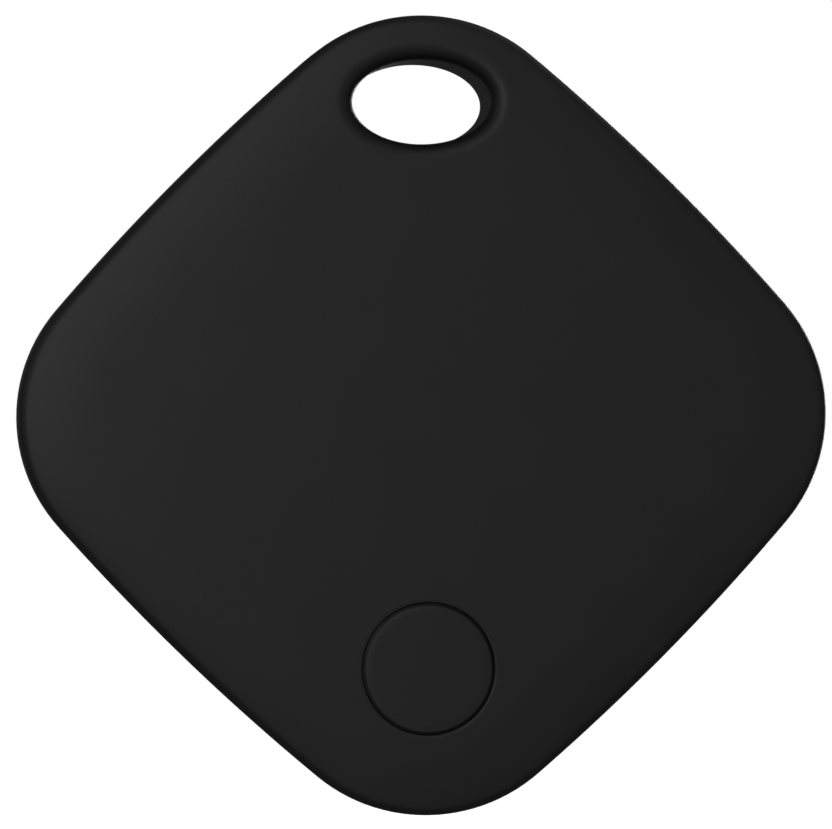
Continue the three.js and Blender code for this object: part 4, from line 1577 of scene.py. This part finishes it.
# %% Contact springs
def bent_strip(name, line, thick, wide, steps=8):
    """Sheet metal `wide` across that follows a smooth curve through the [x, y] points."""
    points = []
    for i in range(len(line) - 1):
        before = Vector(line[max(i - 1, 0)])
        here_at, there = Vector(line[i]), Vector(line[i + 1])
        after = Vector(line[min(i + 2, len(line) - 1)])
        last_step = steps + 1 if i == len(line) - 2 else steps
        for k in range(last_step):
            t = k / steps
            points.append(
                0.5
                * (
                    2 * here_at
                    + (there - before) * t
                    + (2 * before - 5 * here_at + 4 * there - after) * t**2
                    + (3 * here_at - before - 3 * there + after) * t**3
                )
            )
    rings = []
    half = wide / 2
    for i, at in enumerate(points):
        along = (points[min(i + 1, len(points) - 1)] - points[max(i - 1, 0)]).normalized()
        side = Vector((-along.y, along.x)) * thick / 2
        corners = [(at + side, -half), (at + side, half), (at - side, half), (at - side, -half)]
        rings.append([(p.x, p.y, CENTRE_Z + z) for p, z in corners])
    shape = Shape()
    first, last = shape.tube(rings)
    shape.cap(first)
    shape.cap(last[::-1])
    return soften(mesh_object(name, shape), 0.025, steps=2, angle=60)


PLUS_THICK, PLUS_WIDE = 0.15, 4.2
plus_foot = TRAY_FOOT + PLUS_THICK / 2
plus_line = [
    (13.6, plus_foot),
    (12.4, plus_foot),
    (11.3, plus_foot + 0.04),
    (10.85, plus_foot + 0.5),
    (10.16, 0.8),
    (10.5, 1.5),
]
plus_spring = turn_round(bent_strip("plus_spring", plus_line, PLUS_THICK, PLUS_WIDE), CLIP_ANGLE)
finish_piece(plus_spring, "case", GOLD_OVER_BRONZE, ["positive_clip"])

MINUS_THICK, MINUS_WIDE = 0.12, 3.0
minus_foot = TRAY_FOOT + MINUS_THICK / 2
minus_line = [
    (-5, minus_foot),
    (-3.6, minus_foot),
    (-2, minus_foot),
    (1.2, minus_foot + 0.16),
    (3, minus_foot + 0.2),
    (4.4, minus_foot + 0.1),
]
minus_spring = bent_strip("minus_spring", minus_line, MINUS_THICK, MINUS_WIDE)
finish_piece(minus_spring, "case", GOLD_OVER_BRONZE, ["negative_contact"])
print("springs ready")

# %% [markdown]
# ## Foam pad
#
# A disc of soft foam glued inside the back cover presses the cell down so it cannot rattle. Foam is
# cut with a punch, so its rim bulges a little and its face is slightly crowned. It is black, very
# rough and full of tiny cells.


# %% Foam pad
def punched_foam():
    # Open cells a quarter of a millimetre across, with painted shade in their hollows; the foam has
    # no highlight.
    made, tree, shader = material("punched_foam", "#2a2a2b", 0.95)
    place = here(tree)
    cells = put(tree, "ShaderNodeTexVoronoi", {"Vector": place, "Scale": per_mm(0.28)})
    # Painted shade: the ramp makes the pits of the cells darker and the cell walls between them
    # lighter.
    ramp = put(tree, "ShaderNodeValToRGB", {"Fac": cells.outputs["Distance"]})
    ramp.color_ramp.elements[0].color = linear("#1b1b1c")
    ramp.color_ramp.elements[1].position = 0.6
    ramp.color_ramp.elements[1].color = linear("#353536")
    tree.links.new(ramp.outputs["Color"], shader.inputs["Base Color"])
    bump = put(tree, "ShaderNodeBump", {"Height": cells.outputs["Distance"], "Distance": 0.05 * MM})
    tree.links.new(bump.outputs["Normal"], shader.inputs["Normal"])
    shader.inputs["Sheen Weight"].default_value = 0.2
    return made


PAD_STEPS, PAD_CROWN, RIM_IN, RIM_R, RIM_STEPS = 12, 0.05, 0.3, 0.15, 6
pad_low, pad_high = box_mm("cell_pad")
PAD_R = (pad_high.x - pad_low.x) / 2
pad_tall = pad_high.y - pad_low.y
pad_profile = [(0, pad_low.y)]
for i in range(1, PAD_STEPS + 1):
    r = (PAD_R - RIM_IN) * i / PAD_STEPS
    pad_profile.append((r, pad_low.y + PAD_CROWN * pad_tall * (r / PAD_R) ** 2))
for i in range(1, RIM_STEPS):
    turn = math.pi * i / RIM_STEPS
    y = pad_low.y + pad_tall * (0.52 - 0.46 * math.cos(turn))
    pad_profile.append((PAD_R - RIM_R + RIM_R * math.sin(turn), y))
pad_profile += [(PAD_R - RIM_IN, pad_high.y), (0, pad_high.y)]
pad = turned("foam_pad", pad_profile, sides=96)
finish_piece(pad, "cover", punched_foam(), ["cell_pad"], sharp=60)
print(f"foam pad {2 * PAD_R:.1f} mm wide, {pad_tall:.1f} mm thick")

# %% [markdown]
# ## Screws
#
# Three tiny self-tapping screws hold the tray and the board to the front shell. Only their heads
# show: a low drum with a rounded edge and a cross recess.

# %% Screws
HEAD_R, HEAD_TALL, SHANK_R, SCREW_TIP = 1.25, 0.6, 0.6, -3.1
PITCH, THREAD_DEEP = 0.4, 0.07
SLOT_LONG, SLOT_DEEP, SLOT_WIDE = 1.5, 0.35, 0.28
SEAT_Y = EAR_REAR + GLUE_LINE
HEAD_Y = SEAT_Y + HEAD_TALL

thread = []
for i in range(int((SEAT_Y - SCREW_TIP - 0.3) / PITCH)):
    start = SCREW_TIP + 0.2 + i * PITCH
    thread += [(SHANK_R, start + 0.08), (SHANK_R - THREAD_DEEP, start + PITCH * 0.6)]
screw_profile = [
    (0, SCREW_TIP),
    (SHANK_R - 0.2, SCREW_TIP),
    *thread,
    (SHANK_R, SEAT_Y - 0.02),
    (SHANK_R, SEAT_Y),
    (HEAD_R, SEAT_Y),
    *rounded(HEAD_R, HEAD_Y, 0.22, -1)[::-1],
    (0, HEAD_Y),
]
slot_low = (-SLOT_LONG / 2, HEAD_Y - SLOT_DEEP, CENTRE_Z - SLOT_WIDE / 2)
slot_high = (SLOT_LONG / 2, 1, CENTRE_Z + SLOT_WIDE / 2)
for number, angle in enumerate(SCREW_ANGLES, 1):
    x, z = around(angle, EAR_REACH)
    screw = turned(f"tray_screw_{number}", screw_profile, x, z, 64)
    slots = []
    for turn in (0, 90):
        bar = brick("bar", slot_low, slot_high)
        turn_round(bar, turn + angle)
        bar.data.transform(Matrix.Translation((x, 0, z - CENTRE_Z)))
        slots.append(bar)
    combine(screw, slots, "DIFFERENCE")
    finish_piece(screw, "case", ZINC_PLATE, [f"board_screw_{number}"])
print("screws ready")

# %% [markdown]
# ## The sounder
#
# The sounder is a brass disc with a thinner disc of silvered ceramic on it, stuck to the inside of
# the front face by a ring of white tape.

# %% Sounder
TAPE_INNER_R, TAPE_OUTER_R = 6.3, 7.3
glue_low, glue_high = box_mm("buzzer_adhesive")
tape = turned(
    "sounder_tape",
    [
        (TAPE_INNER_R, glue_low.y),
        (TAPE_OUTER_R, glue_low.y),
        (TAPE_OUTER_R, glue_high.y),
        (TAPE_INNER_R, glue_high.y),
        (TAPE_INNER_R, glue_low.y),
    ],
    sides=128,
)
finish_piece(tape, "case", WHITE_TAPE, ["buzzer_adhesive"])
for name, node, edge, slot_name, paint in (
    ("sounder_disc", "buzzer_plate", 0.04, "brass_disc", ROLLED_BRASS),
    ("sounder_ceramic", "buzzer_ceramic", 0.05, "piezo_ceramic", SILVERED_PIEZO),
):
    low, high = box_mm(node)
    r = (high.x - low.x) / 2
    profile = [
        (0, low.y),
        *rounded(r, low.y, edge, 1, 3),
        *rounded(r, high.y, edge, -1, 3)[::-1],
        (0, high.y),
    ]
    finish_piece(turned(name, profile, sides=128), "case", paint, [node])
print("sounder ready")

# %% [markdown]
# ## The sounder's wires
#
# Two soft wires run from the sounder to the board: red from the silvered ceramic, black from the
# brass. Each is a curve with a round section, which is how a short soft wire lies between two
# soldered ends.


# %% Wires
def wire(name, spots, r=0.17):
    """A round wire along a smooth curve through the (x, y, z) spots, made into a mesh."""
    data = bpy.data.curves.new(name, "CURVE")
    data.dimensions = "3D"
    data.bevel_depth = r
    data.bevel_resolution = 6
    data.use_fill_caps = True
    data.resolution_u = 12
    run = data.splines.new("NURBS")
    run.points.add(len(spots) - 1)
    for point, spot in zip(run.points, spots):
        point.co = (*spot, 1)
    run.use_endpoint_u = True
    run.order_u = 4
    made = bpy.data.objects.new(name, data)
    scene.collection.objects.link(made)
    graph = bpy.context.evaluated_depsgraph_get()
    graph.update()
    mesh = bpy.data.meshes.new_from_object(made.evaluated_get(graph))
    bpy.data.objects.remove(made)
    made = bpy.data.objects.new(name, mesh)
    scene.collection.objects.link(made)
    return made


_, plate_high = box_mm("buzzer_plate")
_, ceramic_high = box_mm("buzzer_ceramic")
ON_BOARD_Y = BOARD_FRONT_Y - 0.2
red_spots = [
    (2, ceramic_high.y + 0.2, 1.5),
    (4.2, ceramic_high.y + 0.22, 2.2),
    (6.4, ceramic_high.y + 0.26, 3.4),
    (8.6, ON_BOARD_Y - 0.08, 3.6),
    (10.4, ON_BOARD_Y, 2.8),
]
black_spots = [
    (6.2, plate_high.y + 0.22, -1.4),
    (7.2, plate_high.y + 0.27, -1.9),
    (8.4, ON_BOARD_Y - 0.12, -2.2),
    (9.4, ON_BOARD_Y - 0.02, -1.4),
    (10.6, ON_BOARD_Y, -0.6),
]
for colour, spots, paint in (
    ("red", red_spots, RED_INSULATION),
    ("black", black_spots, BLACK_INSULATION),
):
    lead = wire(f"sounder_{colour}_lead", [(x, y, z + CENTRE_Z) for x, y, z in spots])
    finish_piece(lead, "case", paint, [f"buzzer_wire_{colour}"])
raw = [n for n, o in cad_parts.items() if not o.hide_render]
print("working-model parts still showing:", raw)
